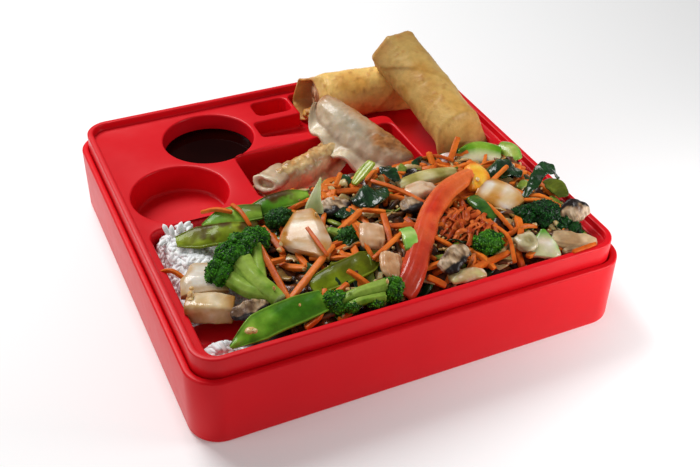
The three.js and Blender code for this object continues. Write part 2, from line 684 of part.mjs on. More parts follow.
// Carrot matchsticks that lie where they can be told apart, as [from, to].
const STICKS = [
  [[-64, -48, 58], [-64, -91, 53]], [[-63, -90, 53], [-29, -66, 60]], [[-56, -32, 56], [-53, -55, 54]],
  [[-68, -59, 53], [-54, -61, 55]], [[-74, -9, 54], [-60, -12, 53]], [[-15, -18, 58], [5, -26, 60]],
  [[-22, -56, 59], [-3, -45, 61]], [[7, -51, 61], [0, -76, 58]], [[58, -9, 62], [56, -22, 55]],
  [[78, -8, 67], [64, -21, 55]], [[54, -77, 57], [60, -96, 54]], [[39, -89, 53], [46, -107, 50]],
  [[26, -104, 50], [58, -102, 54]], [[9, -101, 52], [17, -107, 48]], [[67, -106, 51], [80, -103, 52]],
  [[5, -62, 59], [21, -69, 60]], [[2, -88, 57], [-14, -107, 51]],
];
const LOOSE = { sticks: 18, length: [15, 25], seed: 11 };
const PROUD = 1.1;

function carrot(from, to) {
  const middle = [0, 1].map((i) => (from[i] + to[i]) / 2);
  const high = Math.max((from[2] + to[2]) / 2, heapHeight(...middle) + PROUD);
  const steps = vector(from).distanceTo(vector(to)) > 26 ? 2 : 1;
  return limb({
    path: [from, [...middle, high], to], width: CARROT.side, sides: 4, steps, square: 1, blunt: [1, 1],
  });
}

// Sticks strewn evenly over the heap, each half sunk in it.
function looseSticks() {
  const random = seeded(LOOSE.seed);
  const columns = 9;
  const made = [];
  for (let k = 0; k < LOOSE.sticks; k += 1) {
    const x = -56 + (150 * ((k % columns) + random())) / columns;
    const y = -98 + (86 * (Math.floor(k / columns) + random())) / Math.ceil(LOOSE.sticks / columns);
    const angle = Math.PI * random();
    const half = (LOOSE.length[0] + (LOOSE.length[1] - LOOSE.length[0]) * random()) / 2;
    made.push([-1, 1].map((sign) => {
      const end = [x + sign * half * Math.cos(angle), y + sign * half * Math.sin(angle)];
      return [...end, heapHeight(...end) + PROUD];
    }));
  }
  return made;
}

// ---------------------------------------------------------------- the meal

const group = new THREE.Group();
group.name = 'bento_box_meal';

function place(name, body, colour, roughness = 0.6) {
  const material = new THREE.MeshStandardMaterial({ color: colour, roughness, metalness: 0 });
  const mesh = new THREE.Mesh(geometryOf(body), material);
  mesh.name = name;
  group.add(mesh);
}

// Where food may be: inside the pockets, over the deck and over the rim.
function foodRoom() {
  const sky = 120;
  const halfX = BOX.width / 2 - RIM.inset;
  const halfY = BOX.depth / 2 - RIM.inset;
  const pocket = prism(pocketOutline(MAIN, -GAP), FILL.floor, sky, 4);
  const inRim = RIM.width + GAP;
  const deck = block(halfX - inRim, halfY - inRim, RIM.corner - inRim, DECK.top + GAP, sky, 4);
  return pocket
    .add(prism(pocketOutline(GYOZA_POCKET, -GAP), GYOZA_POCKET.floor + GAP, sky, 4))
    .add(prism(rollOutline(-GAP), ROLL_POCKET.floor + GAP, sky, 4))
    .add(deck)
    .add(block(halfX, halfY, RIM.corner, RIM.top + GAP, sky, 4));
}

function touches(a, b) {
  const [p, q] = [a.boundingBox(), b.boundingBox()];
  return [0, 1, 2].every((i) => p.min[i] <= q.max[i] && q.min[i] <= p.max[i]);
}

place('outer_box', outerBox(), COLOUR.red, 0.4);
place('tray', tray(), COLOUR.red, 0.4);
place('soy_sauce', soySauce(), COLOUR.soy, 0.1);

const heapShape = { ...FILL, x0: RICE_EDGE + GAP, cell: 12 };
const riceShape = { ...FILL, x1: RICE_EDGE, cell: 4.8 };
const pocketRoom = prism(pocketOutline(MAIN, -GAP), FILL.floor, RIM.top + 40, 4);
const core = bed({ ...heapShape, height: heapHeight }).intersect(pocketRoom);
const barShape = rectangle(MAIN.x0 - 1, BAR.x1 + GAP, BAR.y0 - GAP, BAR.y1 + GAP, 2);
const barGrown = prism(barShape, 0, BAR.top + GAP, 2);
const rice = bed({ ...riceShape, height: riceHeight }).intersect(pocketRoom).subtract(barGrown);
const coreGrown = bed({ ...heapShape, height: (x, y) => heapHeight(x, y) + GAP });
const riceGrown = bed({ ...riceShape, cell: 8, height: (x, y) => riceHeight(x, y) + 2.6 });

const room = foodRoom();
const laid = [];

// Fits a piece into the free room beside and under the pieces laid before it.
function fitted(shape, measures) {
  let body = shape(measures).intersect(room);
  for (const other of [...laid, coreGrown, riceGrown]) {
    if (!body.isEmpty() && touches(body, other)) body = body.subtract(other);
  }
  return body.isEmpty() ? null : largest(body);
}

const recipes = [
  ...Object.entries(ROLLS).map(([name, measures]) => [name, springRoll, measures, COLOUR.wrapper]),
  ...Object.entries(DUMPLINGS).map(([name, measures]) => [name, dumpling, measures, COLOUR.dumpling]),
  ...Object.entries(PIECES).map(([name, [shape, measures, colour]]) => [name, shape, measures, colour]),
  ...Object.entries(BROCCOLI).map(([name, measures]) => [name, broccoli, measures, COLOUR.broccoli]),
];
for (const [name, shape, measures, colour] of recipes) {
  place(name, fitted(shape, measures), colour);
  laid.push(shape(measures, GAP));
}

let heap = core;
for (const [from, to] of [...STICKS, ...looseSticks()]) {
  let stick = carrot(from, to).intersect(room);
  for (const other of [...laid, riceGrown]) {
    if (!stick.isEmpty() && touches(stick, other)) stick = stick.subtract(other);
  }
  if (!stick.isEmpty()) heap = heap.add(largest(stick));
}
place('stir_fry', largest(heap), COLOUR.carrot);
place('rice', largest(rice), COLOUR.rice);

export default group;
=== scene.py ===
"""A bento box meal: a two-piece red plastic lunch box with rice, stir-fried vegetables,
two spring rolls, two fried dumplings and a cup of soy sauce.

Lengths in the tables below are millimetres. Meshes are in metres, +Z up, +X along the front edge.
"""

import math

import bpy
import bmesh
import numpy as np
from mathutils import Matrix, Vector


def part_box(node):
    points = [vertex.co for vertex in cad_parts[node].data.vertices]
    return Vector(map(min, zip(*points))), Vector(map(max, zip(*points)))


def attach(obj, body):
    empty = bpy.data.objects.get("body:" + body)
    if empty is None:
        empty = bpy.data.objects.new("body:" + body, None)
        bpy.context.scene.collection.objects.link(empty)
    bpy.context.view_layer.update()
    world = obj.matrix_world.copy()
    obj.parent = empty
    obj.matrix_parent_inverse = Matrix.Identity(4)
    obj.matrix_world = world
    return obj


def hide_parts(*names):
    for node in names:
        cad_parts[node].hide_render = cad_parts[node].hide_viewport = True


bl_info = {
    "name": "Bento Box Meal",
    "version": (1, 0, 0),
    "blender": (4, 5, 0),
    "location": "View3D > Sidebar > Bento",
    "description": "Builds a lunch box with its food, piece by piece",
    "category": "Add Mesh",
}

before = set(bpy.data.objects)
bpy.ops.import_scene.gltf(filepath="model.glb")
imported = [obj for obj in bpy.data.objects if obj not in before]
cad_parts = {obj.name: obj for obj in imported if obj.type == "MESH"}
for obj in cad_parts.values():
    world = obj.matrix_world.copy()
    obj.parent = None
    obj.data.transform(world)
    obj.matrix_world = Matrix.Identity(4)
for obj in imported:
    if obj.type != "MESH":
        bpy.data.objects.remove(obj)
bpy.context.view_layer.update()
MM = 0.001


def span(node):
    """A node's box in millimetres, as two arrays."""
    low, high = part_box(node)
    return np.array(low) / MM, np.array(high) / MM


# ---------------------------------------------------------------- sizes of the box

BOX_LOW, BOX_HIGH = span("outer_box")
TRAY_LOW, TRAY_HIGH = span("tray")
SOY_LOW, SOY_HIGH = span("soy_sauce")

BOX_CORNER = 17
BOX_FOOT_ROUND = 1.6
BOX_LIP_ROUND = 1.2
RIM_ROUND = 0.9
RIM_FOOT_ROUND = 0.8
BAR_ROUND = 1.5
BOX_WALL = 4
BOX_FLOOR = 3
RIM_TOP = TRAY_HIGH[2]
RIM_WIDTH = 3.6
RIM_CORNER = 14
DECK = RIM_TOP - 4.2
TRAY_FOOT = BOX_FLOOR + 0.4
TRAY_FOOT_CUT = 0.6
MENISCUS = 0.5
CORNER_STEPS = 14
POCKET_STEPS = 8
CUP_STEPS = 24
BAR_STEPS = 6

MAIN_POCKET = dict(x0=-112.3, x1=112, y0=-109.5, y1=-1.5, corner=8, floor=5.4)
DUMPLING_POCKET = dict(x0=-43.3, x1=62.8, y0=4.5, y1=51.7, corner=5, floor=20)
SMALL_SLOT = dict(x0=-13, x1=11.2, y0=91, y1=108, corner=4.5, floor=36)
ROLL_POCKET = dict(x0=14, x1=111.8, y0=4.5, y1=109, corner=6, floor=37.5)
ROLL_POCKET_INNER = (65.4, 61.5)
FINGER_NOTCH = dict(x0=-19, y0=66.5, y1=84.3)
CUP_RADIUS = 28.2
CUP_FLOOR = 30.5
CUPS = {"soy": (-51, 78.3), "empty": (-85, 27.3)}
LOW_BAR = dict(x0=MAIN_POCKET["x0"] - 1, x1=-80, y0=-89, y1=-72, corner=3, top=37)


# ---------------------------------------------------------------- settings


def length_setting(name, description, default, low=0.0, high=0.2):
    return bpy.props.FloatProperty(
        name=name, description=description, default=default, min=low, max=high,
        unit="LENGTH", subtype="DISTANCE", precision=5,
    )


def colour_setting(name, description, default):
    return bpy.props.FloatVectorProperty(
        name=name, description=description, default=default, size=3, min=0, max=1, subtype="COLOR",
    )


def number_setting(name, description, default):
    return bpy.props.IntProperty(name=name, description=description, default=default, min=0)


class BentoBoxSettings(bpy.types.PropertyGroup):
    plastic: colour_setting("Plastic", "Colour of the box and the tray", (0.72, 0.005, 0.012))
    edge_round: length_setting("Edge round", "Radius of the pocket edges", 0.0012)
    foot_round: length_setting("Foot round", "Radius where pocket walls meet their floor", 0.0025)


class BentoFoodSettings(bpy.types.PropertyGroup):
    seed: number_setting("Seed", "Seed of the strewn food", 4)
    carrot_sticks: number_setting("Carrot sticks", "Number of carrot sticks strewn through the heap", 130)
    garlic_bits: number_setting("Garlic bits", "Number of bits of garlic strewn over the heap", 160)


# ---------------------------------------------------------------- shapes


def lattice(ix, iy, iz, seed):
    """A repeatable value from -1 to 1 for each whole-number corner of space."""
    mixed = (ix * 73856093) ^ (iy * 19349663) ^ (iz * 83492791) ^ (seed * 2654435761)
    mixed = (mixed ^ (mixed >> 13)) * 1274126177
    return ((mixed ^ (mixed >> 16)) & 0xFFFF) / 32767.5 - 1


def noise(points, size, seed=0):
    """Smooth noise from -1 to 1 at each point; its lumps are about size wide."""
    scaled = np.asarray(points, float) / size
    cell = np.floor(scaled).astype(np.int64)
    part = scaled - cell
    part = part * part * (3 - 2 * part)
    total = np.zeros(len(scaled))
    for corner in np.ndindex(2, 2, 2):
        wx, wy, wz = np.abs(1 - np.array(corner) - part).T
        total += wx * wy * wz * lattice(*(cell + corner).T, seed)
    return total


def layered(points, size, seed=0, octaves=3):
    """Noise in layers, each half as wide and half as strong as the one before."""
    return sum(noise(points, size / 2 ** k, seed + k) / 2 ** k for k in range(octaves))


def grid_faces(rows, columns, closed=True, first=0):
    """Quads of a grid of points; closed joins each row's ends."""
    faces = []
    around = columns if closed else columns - 1
    for r in range(rows - 1):
        for c in range(around):
            n = (c + 1) % columns
            a, b = first + r * columns, first + (r + 1) * columns
            faces.append((a + c, a + n, b + n, b + c))
    return faces


def new_piece(name, points, faces, tint=None):
    """A mesh object from points in millimetres; tint is one colour for each point."""
    mesh = bpy.data.meshes.new(name)
    mesh.from_pydata((np.asarray(points, float) * MM).tolist(), [], faces)
    if tint is not None:
        layer = mesh.attributes.new("tint", "FLOAT_COLOR", "POINT")
        values = np.ones((len(points), 4), np.float32)
        values[:, :3] = tint
        layer.data.foreach_set("color", values.ravel())
    mesh.polygons.foreach_set("use_smooth", [True] * len(mesh.polygons))
    piece = bpy.data.objects.new(name, mesh)
    bpy.context.scene.collection.objects.link(piece)
    return piece


def tidy_mesh(piece, shape=None, merge=1e-6):
    """Merges doubled points and turns the faces outwards; shape is the piece's bmesh, if it is open."""
    if shape is None:
        shape = bmesh.new()
        shape.from_mesh(piece.data)
    bmesh.ops.remove_doubles(shape, verts=shape.verts, dist=merge)
    for face in shape.faces:
        face.smooth = True
    bmesh.ops.recalc_face_normals(shape, faces=shape.faces)
    shape.to_mesh(piece.data)
    shape.free()
    piece.data.update()
    return piece


def baked(piece):
    """Turns a piece with modifiers into a plain mesh, and removes the modifiers."""
    evaluated = piece.evaluated_get(bpy.context.evaluated_depsgraph_get())
    mesh = bpy.data.meshes.new_from_object(evaluated)
    old = piece.data
    piece.modifiers.clear()
    piece.data = mesh
    mesh.name = piece.name
    bpy.data.meshes.remove(old)
    return piece


def finish_piece(piece, material, slot, *nodes):
    """Gives a piece its material, attaches it to the root and hides the nodes it replaces."""
    piece.data.materials.clear()
    piece.data.materials.append(material)
    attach(piece, "root")
    if nodes:
        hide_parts(*nodes)
    return piece


def arc(centre, radius, start, end, steps):
    """Points on a circle from one angle to another, in degrees."""
    angles = np.radians(np.linspace(start, end, steps + 1))
    return np.c_[centre[0] + radius * np.cos(angles), centre[1] + radius * np.sin(angles)]


def rounded_outline(corners, grow=0.0, steps=8):
    """A closed outline, anticlockwise, from (x, y, radius) corners, grown outwards by grow.

    A corner that turns right is an inner one, so growing makes its radius smaller.
    """
    points = []
    for k, (x, y, radius) in enumerate(corners):
        here = np.array([x, y], float)
        come = here - corners[k - 1][:2]
        leave = np.array(corners[(k + 1) % len(corners)][:2]) - here
        come, leave = come / np.linalg.norm(come), leave / np.linalg.norm(leave)
        cross = come[0] * leave[1] - come[1] * leave[0]
        turn = math.atan2(cross, come @ leave)
        side = np.array([-come[1], come[0]]) * np.sign(turn)
        centre = here - come * radius * math.tan(abs(turn) / 2) + side * radius
        size = max(radius + grow * np.sign(turn), 0.05)
        start = math.degrees(math.atan2(-side[1], -side[0]))
        points.append(arc(centre, size, start, start + math.degrees(turn), steps))
    return np.vstack(points)


def rectangle(x0, x1, y0, y1, corner):
    """The corners of a rounded rectangle, as (x, y, corner radius)."""
    return [(x0, y0, corner), (x1, y0, corner), (x1, y1, corner), (x0, y1, corner)]


def pocket_corners(pocket):
    """A rectangular pocket's outline on the deck."""
    return rectangle(pocket["x0"], pocket["x1"], pocket["y0"], pocket["y1"], pocket["corner"])


def rings_of(corners, profile, steps=8):
    """Rings of a rounded outline at each (grow, height) of a profile."""
    rings = []
    for grow, height in profile:
        outline = rounded_outline(corners, grow, steps)
        rings.append(np.c_[outline, np.full(len(outline), height)])
    return rings


def ring_stack(rings, cap_first=False, cap_last=False):
    """Points and faces of a stack of equal rings, with flat caps where asked."""
    points = np.vstack(rings)
    columns = len(rings[0])
    faces = grid_faces(len(rings), columns)
    if cap_first:
        faces.append(tuple(range(columns - 1, -1, -1)))
    if cap_last:
        faces.append(tuple(range(len(points) - columns, len(points))))
    return points, faces


def round_over(radius, steps=4):
    """Distances (in, down) from a corner along its quarter round, from the upright face to the top."""
    angles = np.radians(np.linspace(0, 90, steps + 1))
    return [(radius * (1 - math.cos(a)), radius * (1 - math.sin(a))) for a in angles]


# ---------------------------------------------------------------- materials


def feed(tree, socket, value):
    """Links a socket to the one given, or sets its value; a colour may lack its alpha."""
    if isinstance(value, bpy.types.NodeSocket):
        tree.links.new(value, socket)
    elif socket.type == "RGBA" and len(value) == 3:
        socket.default_value = (*value, 1)
    else:
        socket.default_value = value


def add_node(tree, kind, inputs=(), **settings):
    """A new node with its settings; inputs are values or sockets, by the input's name or number."""
    node = tree.nodes.new(kind)
    for label, value in settings.items():
        setattr(node, label, value)
    for key, value in dict(inputs).items():
        feed(tree, node.inputs[key], value)
    return node


class Look:
    """A material being made, with its main shader."""

    def __init__(self, name, **values):
        self.material = bpy.data.materials.new(name)
        self.material.use_nodes = True
        self.tree = self.material.node_tree
        self.shader = self.tree.nodes["Principled BSDF"]
        self.set(**values)

    def set(self, **values):
        """Sets or links the main shader's own sockets."""
        for label, value in values.items():
            feed(self.tree, self.shader.inputs[label.replace("_", " ")], value)

    def noise(self, scale, detail):
        """A noise texture on Object coordinates."""
        place = add_node(self.tree, "ShaderNodeTexCoord").outputs["Object"]
        inputs = {"Vector": place, "Scale": scale, "Detail": detail}
        return add_node(self.tree, "ShaderNodeTexNoise", inputs).outputs["Fac"]

    def ramp(self, value, low, high):
        """A colour ramp over a value, between two stops of (position, colour)."""
        band = add_node(self.tree, "ShaderNodeValToRGB", {"Fac": value})
        for element, (position, shade) in zip(band.color_ramp.elements, (low, high)):
            element.position = position
            element.color = (*shade, 1)
        return band.outputs["Color"]

    def mix(self, kind, factor, first, second):
        """Mixes two colours."""
        inputs = {0: factor, 6: first, 7: second}
        return add_node(self.tree, "ShaderNodeMix", inputs, data_type="RGBA", blend_type=kind).outputs[2]

    def bump(self, height, strength, distance):
        """A bump from a height, on top of the shader's bumps so far."""
        inputs = {"Height": height, "Strength": strength, "Distance": distance}
        for link in self.shader.inputs["Normal"].links:
            inputs["Normal"] = link.from_socket
        self.set(Normal=add_node(self.tree, "ShaderNodeBump", inputs).outputs["Normal"])

    def vary_roughness(self, value, low, high):
        """Roughness from low to high with a value from 0 to 1."""
        inputs = {"Value": value, "To Min": low, "To Max": high}
        self.set(Roughness=add_node(self.tree, "ShaderNodeMapRange", inputs).outputs["Result"])


def moulded_plastic(name, shade, shine):
    """Smooth satin plastic with a faint moulding texture and fine handling marks."""
    look = Look(name, Roughness=0.32, IOR=1.48, Specular_IOR_Level=shine)
    dull, bright = (tuple(min(1.0, share * v) for v in shade) for share in (0.93, 1.05))
    look.set(Base_Color=look.mix("MIX", look.noise(35, 4), dull, bright))
    look.bump(look.noise(1600, 2), 0.05, 0.0002)
    marks = look.noise(120, 6)
    look.bump(marks, 0.04, 0.0004)
    look.vary_roughness(marks, 0.26, 0.38)
    return look.material


def sauce(name):
    """Soy sauce: almost black, with a sharp reflection."""
    look = Look(name, Roughness=0.05, IOR=1.33, Specular_IOR_Level=0.06)
    depth = look.noise(40, 2)
    look.set(Base_Color=look.ramp(depth, (0.3, (0.007, 0.0004, 0.0003)), (0.7, (0.012, 0.001, 0.0006))))
    look.bump(look.noise(60, 1), 0.03, 0.0005)
    return look.material


# ---------------------------------------------------------------- box, tray and sauce

BOX_SHINE = 0.14
TRAY_SHINE = 0.22


def rim_profile(top, radius, wall):
    """The rounded top of a wall, from its outer side to its inner side."""
    outer = [(-a, top - b) for a, b in round_over(radius)]
    return outer + [(a - wall, top - b) for a, b in reversed(round_over(radius))]


def centred(low, high, corner):
    """A rounded rectangle about the origin, as large as a node."""
    x, y = (high - low)[:2] / 2
    return rectangle(-x, x, -y, y, corner)


def make_outer_box():
    """The plain outer box: its foot, its wall with a rounded lip, and its floor."""
    profile = [(-a, b) for a, b in reversed(round_over(BOX_FOOT_ROUND))]
    profile += rim_profile(BOX_HIGH[2], BOX_LIP_ROUND, BOX_WALL)
    profile += [(-BOX_WALL, BOX_FLOOR)]
    rings = rings_of(centred(BOX_LOW, BOX_HIGH, BOX_CORNER), profile, CORNER_STEPS)
    return tidy_mesh(new_piece("outer_box_shell", *ring_stack(rings, cap_first=True, cap_last=True)))


def pocket_walls(corners, floor, settings, steps):
    """Rings of a pocket from its rounded edge on the deck to its floor."""
    edge, foot = settings.edge_round / MM, settings.foot_round / MM
    profile = [(a, DECK - b) for a, b in reversed(round_over(edge))]
    profile += [(-a, floor + b) for a, b in round_over(foot, 5)]
    return rings_of(corners, profile, steps)


def roll_pocket_corners():
    """The L-shaped pocket's outline, with its finger notch, as (x, y, corner radius)."""
    p = ROLL_POCKET
    inner_x, inner_y = ROLL_POCKET_INNER
    notch = FINGER_NOTCH
    return [
        (notch["x0"], notch["y0"], 3),
        (6, inner_y, 12),
        (inner_x, inner_y, p["corner"]),
        (inner_x, p["y0"], p["corner"] - 2),
        (p["x1"], p["y0"], p["corner"]),
        (p["x1"], p["y1"], p["corner"]),
        (p["x0"], p["y1"], p["corner"] - 2),
        (p["x0"], notch["y1"], 1.5),
        (notch["x0"], notch["y1"], 3),
    ]


def make_tray(settings):
    """The moulded tray: its rim, its deck and the pockets in it."""
    outer = [(-TRAY_FOOT_CUT, TRAY_FOOT), (0, TRAY_FOOT + TRAY_FOOT_CUT)]
    outer += rim_profile(RIM_TOP, RIM_ROUND, RIM_WIDTH)
    outer += [(-RIM_WIDTH - b, DECK + a) for a, b in reversed(round_over(RIM_FOOT_ROUND))]
    rim = rings_of(centred(TRAY_LOW, TRAY_HIGH, RIM_CORNER), outer, CORNER_STEPS)
    pieces, loops = [ring_stack(rim, cap_first=True)], [rim[-1]]
    plain = (MAIN_POCKET, DUMPLING_POCKET, SMALL_SLOT)
    pockets = [(pocket_corners(pocket), pocket["floor"], POCKET_STEPS) for pocket in plain]
    pockets.append((roll_pocket_corners(), ROLL_POCKET["floor"], POCKET_STEPS))
    for x, y in CUPS.values():
        cup = rectangle(x - CUP_RADIUS, x + CUP_RADIUS, y - CUP_RADIUS, y + CUP_RADIUS, CUP_RADIUS - 0.01)
        pockets.append((cup, CUP_FLOOR, CUP_STEPS))
    for corners, floor, steps in pockets:
        rings = pocket_walls(corners, floor, settings, steps)
        pieces.append(ring_stack(rings, cap_last=True))
        loops.append(rings[0])
    bar = [(0, MAIN_POCKET["floor"] - 0.5)] + [(-a, LOW_BAR["top"] - b) for a, b in round_over(BAR_ROUND)]
    bar_rings = rings_of(pocket_corners(LOW_BAR), bar, BAR_STEPS)
    pieces.append(ring_stack(bar_rings, cap_first=True, cap_last=True))
    points, faces = [], []
    for more_points, more_faces in pieces:
        base = sum(len(p) for p in points)
        points.append(more_points)
        faces += [tuple(base + i for i in face) for face in more_faces]
    tray = new_piece("tray_shell", np.vstack(points), faces)
    shape = bmesh.new()
    shape.from_mesh(tray.data)
    edges = []
    for loop in loops:
        verts = [shape.verts.new(p * MM) for p in loop]
        edges += [shape.edges.new((a, b)) for a, b in zip(verts, verts[1:] + verts[:1])]
    bmesh.ops.triangle_fill(shape, edges=edges, use_beauty=True, normal=(0, 0, 1))
    return tidy_mesh(tray, shape, merge=2e-6)


def make_soy():
    """The sauce, with a raised edge where it meets the cup."""
    radius = (SOY_HIGH - SOY_LOW)[0] / 2
    low, level = SOY_LOW[2], SOY_HIGH[2] - MENISCUS
    rings = []
    for share, height in (
        (0.02, low), (1, low), (1, level + MENISCUS), (0.985, level + 0.2), (0.95, level), (0.02, level),
    ):
        ring = arc(CUPS["soy"], share * radius, 0, 360, 96)[:-1]
        rings.append(np.c_[ring, np.full(len(ring), height)])
    return tidy_mesh(new_piece("soy_sauce_pool", *ring_stack(rings, cap_first=True, cap_last=True)))


class BENTO_OT_outer_box(bpy.types.Operator):
    """Builds the outer box"""

    bl_idname = "bento.outer_box"
    bl_label = "Outer box"

    def execute(self, context):
        plastic = moulded_plastic("box_plastic", tuple(context.scene.bento_box.plastic), BOX_SHINE)
        finish_piece(make_outer_box(), plastic, "box_red", "outer_box")
        return {"FINISHED"}


class BENTO_OT_tray(bpy.types.Operator):
    """Builds the moulded tray with its pockets"""

    bl_idname = "bento.tray"
    bl_label = "Tray"

    def execute(self, context):
        settings = context.scene.bento_box
        plastic = moulded_plastic("tray_plastic", tuple(settings.plastic), TRAY_SHINE)
        finish_piece(make_tray(settings), plastic, "tray_red", "tray")
        return {"FINISHED"}


class BENTO_OT_soy(bpy.types.Operator):
    """Fills the round cup with soy sauce"""

    bl_idname = "bento.soy"
    bl_label = "Soy sauce"

    def execute(self, context):
        finish_piece(make_soy(), sauce("soy_sauce_liquid"), "soy", "soy_sauce")
        return {"FINISHED"}


# ---------------------------------------------------------------- food shapes


def unit(vectors):
    """The vectors at a length of 1."""
    return vectors / np.maximum(np.linalg.norm(vectors, axis=-1, keepdims=True), 1e-9)


def srgb(red, green, blue):
    """A colour of 0 to 255 as the linear values that shaders use."""
    value = np.array([red, green, blue]) / 255
    return tuple(np.where(value < 0.04045, value / 12.92, ((value + 0.055) / 1.055) ** 2.4).tolist())


def between(stops, value):
    """Colours blended along stops of (position, colour) at each value."""
    places = [s[0] for s in stops]
    return np.stack([np.interp(value, places, [s[1][i] for s in stops]) for i in range(3)], axis=-1)


def toward(tint, colour, share):
    """A tint moved toward a colour by a share from 0 to 1."""
    share = np.clip(share, 0, 1)[..., None]
    return tint * (1 - share) + np.array(colour) * share


def evenly(tones):
    """Stops for three tones: dark, middle and light."""
    return list(zip((-0.6, 0.0, 0.6), tones))


def hump(value, centre, width, power=2):
    """1 at the centre, falling off to 0 over a width."""
    return np.exp(-(((value - centre) / width) ** power))


def smooth_step(value, low, high):
    """0 up to low and 1 from high on, with a smooth rise between them."""
    share = np.clip((np.asarray(value, float) - low) / (high - low), 0, 1)
    return share * share * (3 - 2 * share)


def smooth_path(points, places):
    """Points at shares from 0 to 1 along a centripetal Catmull-Rom curve."""
    given = np.asarray(points, float)
    line = np.vstack([2 * given[0] - given[1], given, 2 * given[-1] - given[-2]])
    spans = len(given) - 1
    at = np.clip(np.asarray(places, float) * spans, 0, spans - 1e-9)
    k = at.astype(int)
    w = (at - k)[:, None]
    a, b, c, d = (line[k + i] for i in range(4))
    ab, bc, cd = (np.linalg.norm(q - p, axis=1)[:, None] ** 0.5 for p, q in ((a, b), (b, c), (c, d)))
    leave = ((b - a) / ab - (c - a) / (ab + bc) + (c - b) / bc) * bc
    reach = ((c - b) / bc - (d - b) / (bc + cd) + (d - c) / cd) * bc
    start = (2 * w**3 - 3 * w**2 + 1) * b + (w**3 - 2 * w**2 + w) * leave
    return start + (3 * w**2 - 2 * w**3) * c + (w**3 - w**2) * reach


def path_frames(path, places, roll):
    """The points of a path with their sideways and upward directions."""
    step = 1e-3
    ahead = smooth_path(path, np.clip(places + step, 0, 1))
    behind = smooth_path(path, np.clip(places - step, 0, 1))
    along = unit(ahead - behind)
    upright = np.where(np.abs(along[:, 2:]) > 0.93, (0.0, 1.0, 0.0), (0.0, 0.0, 1.0))
    side = unit(np.cross(along, upright))
    angle = -math.radians(roll)
    side = side * math.cos(angle) + np.cross(along, side) * math.sin(angle)
    return smooth_path(path, places), side, np.cross(side, along)


def eased(stops, value):
    """Values between stops of (position, value) with softened corners."""
    places, heights = np.array(stops, float).T
    around = [np.clip(np.asarray(value) + d, 0, 1) for d in (-0.05, -0.025, 0, 0.025, 0.05)]
    near = [np.interp(value, places, heights) for value in around]
    return np.mean(near, axis=0)


class Form:
    """A closed surface as a grid of points in millimetres, rows along it and columns round it.

    t runs along it from 0 to 1, u across it and v through it from -1 to 1.
    """

    def __init__(self, grid, t, u, v):
        self.grid, self.t, self.u, self.v = grid, t, u, v
        self.tint = np.ones(grid.shape)

    def points(self):
        return self.grid.reshape(-1, 3)

    def push(self, distance):
        """Moves each point out along its normal."""
        along = np.gradient(self.grid, axis=0)
        around = np.roll(self.grid, -1, axis=1) - np.roll(self.grid, 1, axis=1)
        out = unit(np.cross(along, around))
        self.grid = self.grid + out * np.broadcast_to(distance, self.t.shape)[..., None]
        return self

    def noise(self, size, seed, octaves=2):
        return layered(self.points(), size, seed, octaves).reshape(self.t.shape)

    def shade(self, stops, value):
        """Colours the form along stops of (position, colour)."""
        self.tint = between(stops, value)

    def paint(self, colour, share):
        """Moves the form's colour toward another."""
        self.tint = toward(self.tint, colour, share)

    def faces(self, first):
        """Its quads and its two ends; its points are numbered from first."""
        rows, columns = self.t.shape
        r, c = np.meshgrid(np.arange(rows - 1), np.arange(columns), indexing="ij")
        here, beside = r * columns + c, r * columns + (c + 1) % columns
        quads = np.stack([here, here + columns, beside + columns, beside], axis=-1).reshape(-1, 4) + first
        start = tuple(range(first, first + columns))
        last = first + (rows - 1) * columns
        return [tuple(q) for q in quads.tolist()] + [start, tuple(range(last + columns - 1, last - 1, -1))]


def swept(
    path, width, thick=None, rows=24, columns=16, roll=0.0, ends=(0.7, 0.7), boxy=2.2, cap=1.2,
    sheet=False, lift=None, section=None, profile=None, outline=None,
):
    """A stick, pod, leaf or roll: a section swept along a path.

    ends is the section's share of its size at the two ends, boxy its squareness and cap the length
    of its rounded ends. A sheet narrows but keeps its thickness. lift bends it up by (t, u), section
    changes its section by (t, angle, u, v), profile gives its rows as (share of the path, share of the
    size), and outline its width along the path as (share of the path, share of the width).
    """
    thick = width if thick is None else thick
    if profile is None:
        length = np.linalg.norm(np.diff(np.asarray(path, float), axis=0), axis=1).sum()
        round_share = min(cap / length, 0.3)
        turn = np.radians(np.linspace(0, 90, 5))[:-1]
        start = round_share * (1 - np.cos(turn))
        body = np.linspace(round_share, 1 - round_share, rows)
        places = np.concatenate([start, body, 1 - start[::-1]])
        shrink = np.concatenate([np.sin(turn), np.ones(rows), np.sin(turn[::-1])])
    else:
        places, shrink = np.array(profile, float).T
    shrink = np.maximum(shrink, 0.03)[:, None]
    middle, side, up = path_frames(path, places, roll)
    bow = np.sin(np.pi * np.clip(places, 0, 1))
    bow = bow if sheet else np.minimum(1, 1.25 * bow)
    end = np.where(places < 0.5, *ends)
    size = end + (1 - end) * bow
    if outline is not None:
        size = eased(outline, places)
    size = size[:, None]
    angle = 2 * np.pi * (np.arange(columns) + 0.5) / columns
    t, a = np.meshgrid(places, angle, indexing="ij")
    u = np.sign(np.cos(a)) * np.abs(np.cos(a)) ** (2 / boxy)
    v = np.sign(np.sin(a)) * np.abs(np.sin(a)) ** (2 / boxy)
    across, through = (u, v) if section is None else section(t, a, u, v)
    x = across * shrink * size * width / 2
    y = through * shrink * thick / 2 * (1 if sheet else size)
    if lift is not None:
        y = y + lift(t, u * shrink)
    grid = middle[:, None] + side[:, None] * x[..., None] + up[:, None] * y[..., None]
    return Form(grid, t, u * shrink, v)


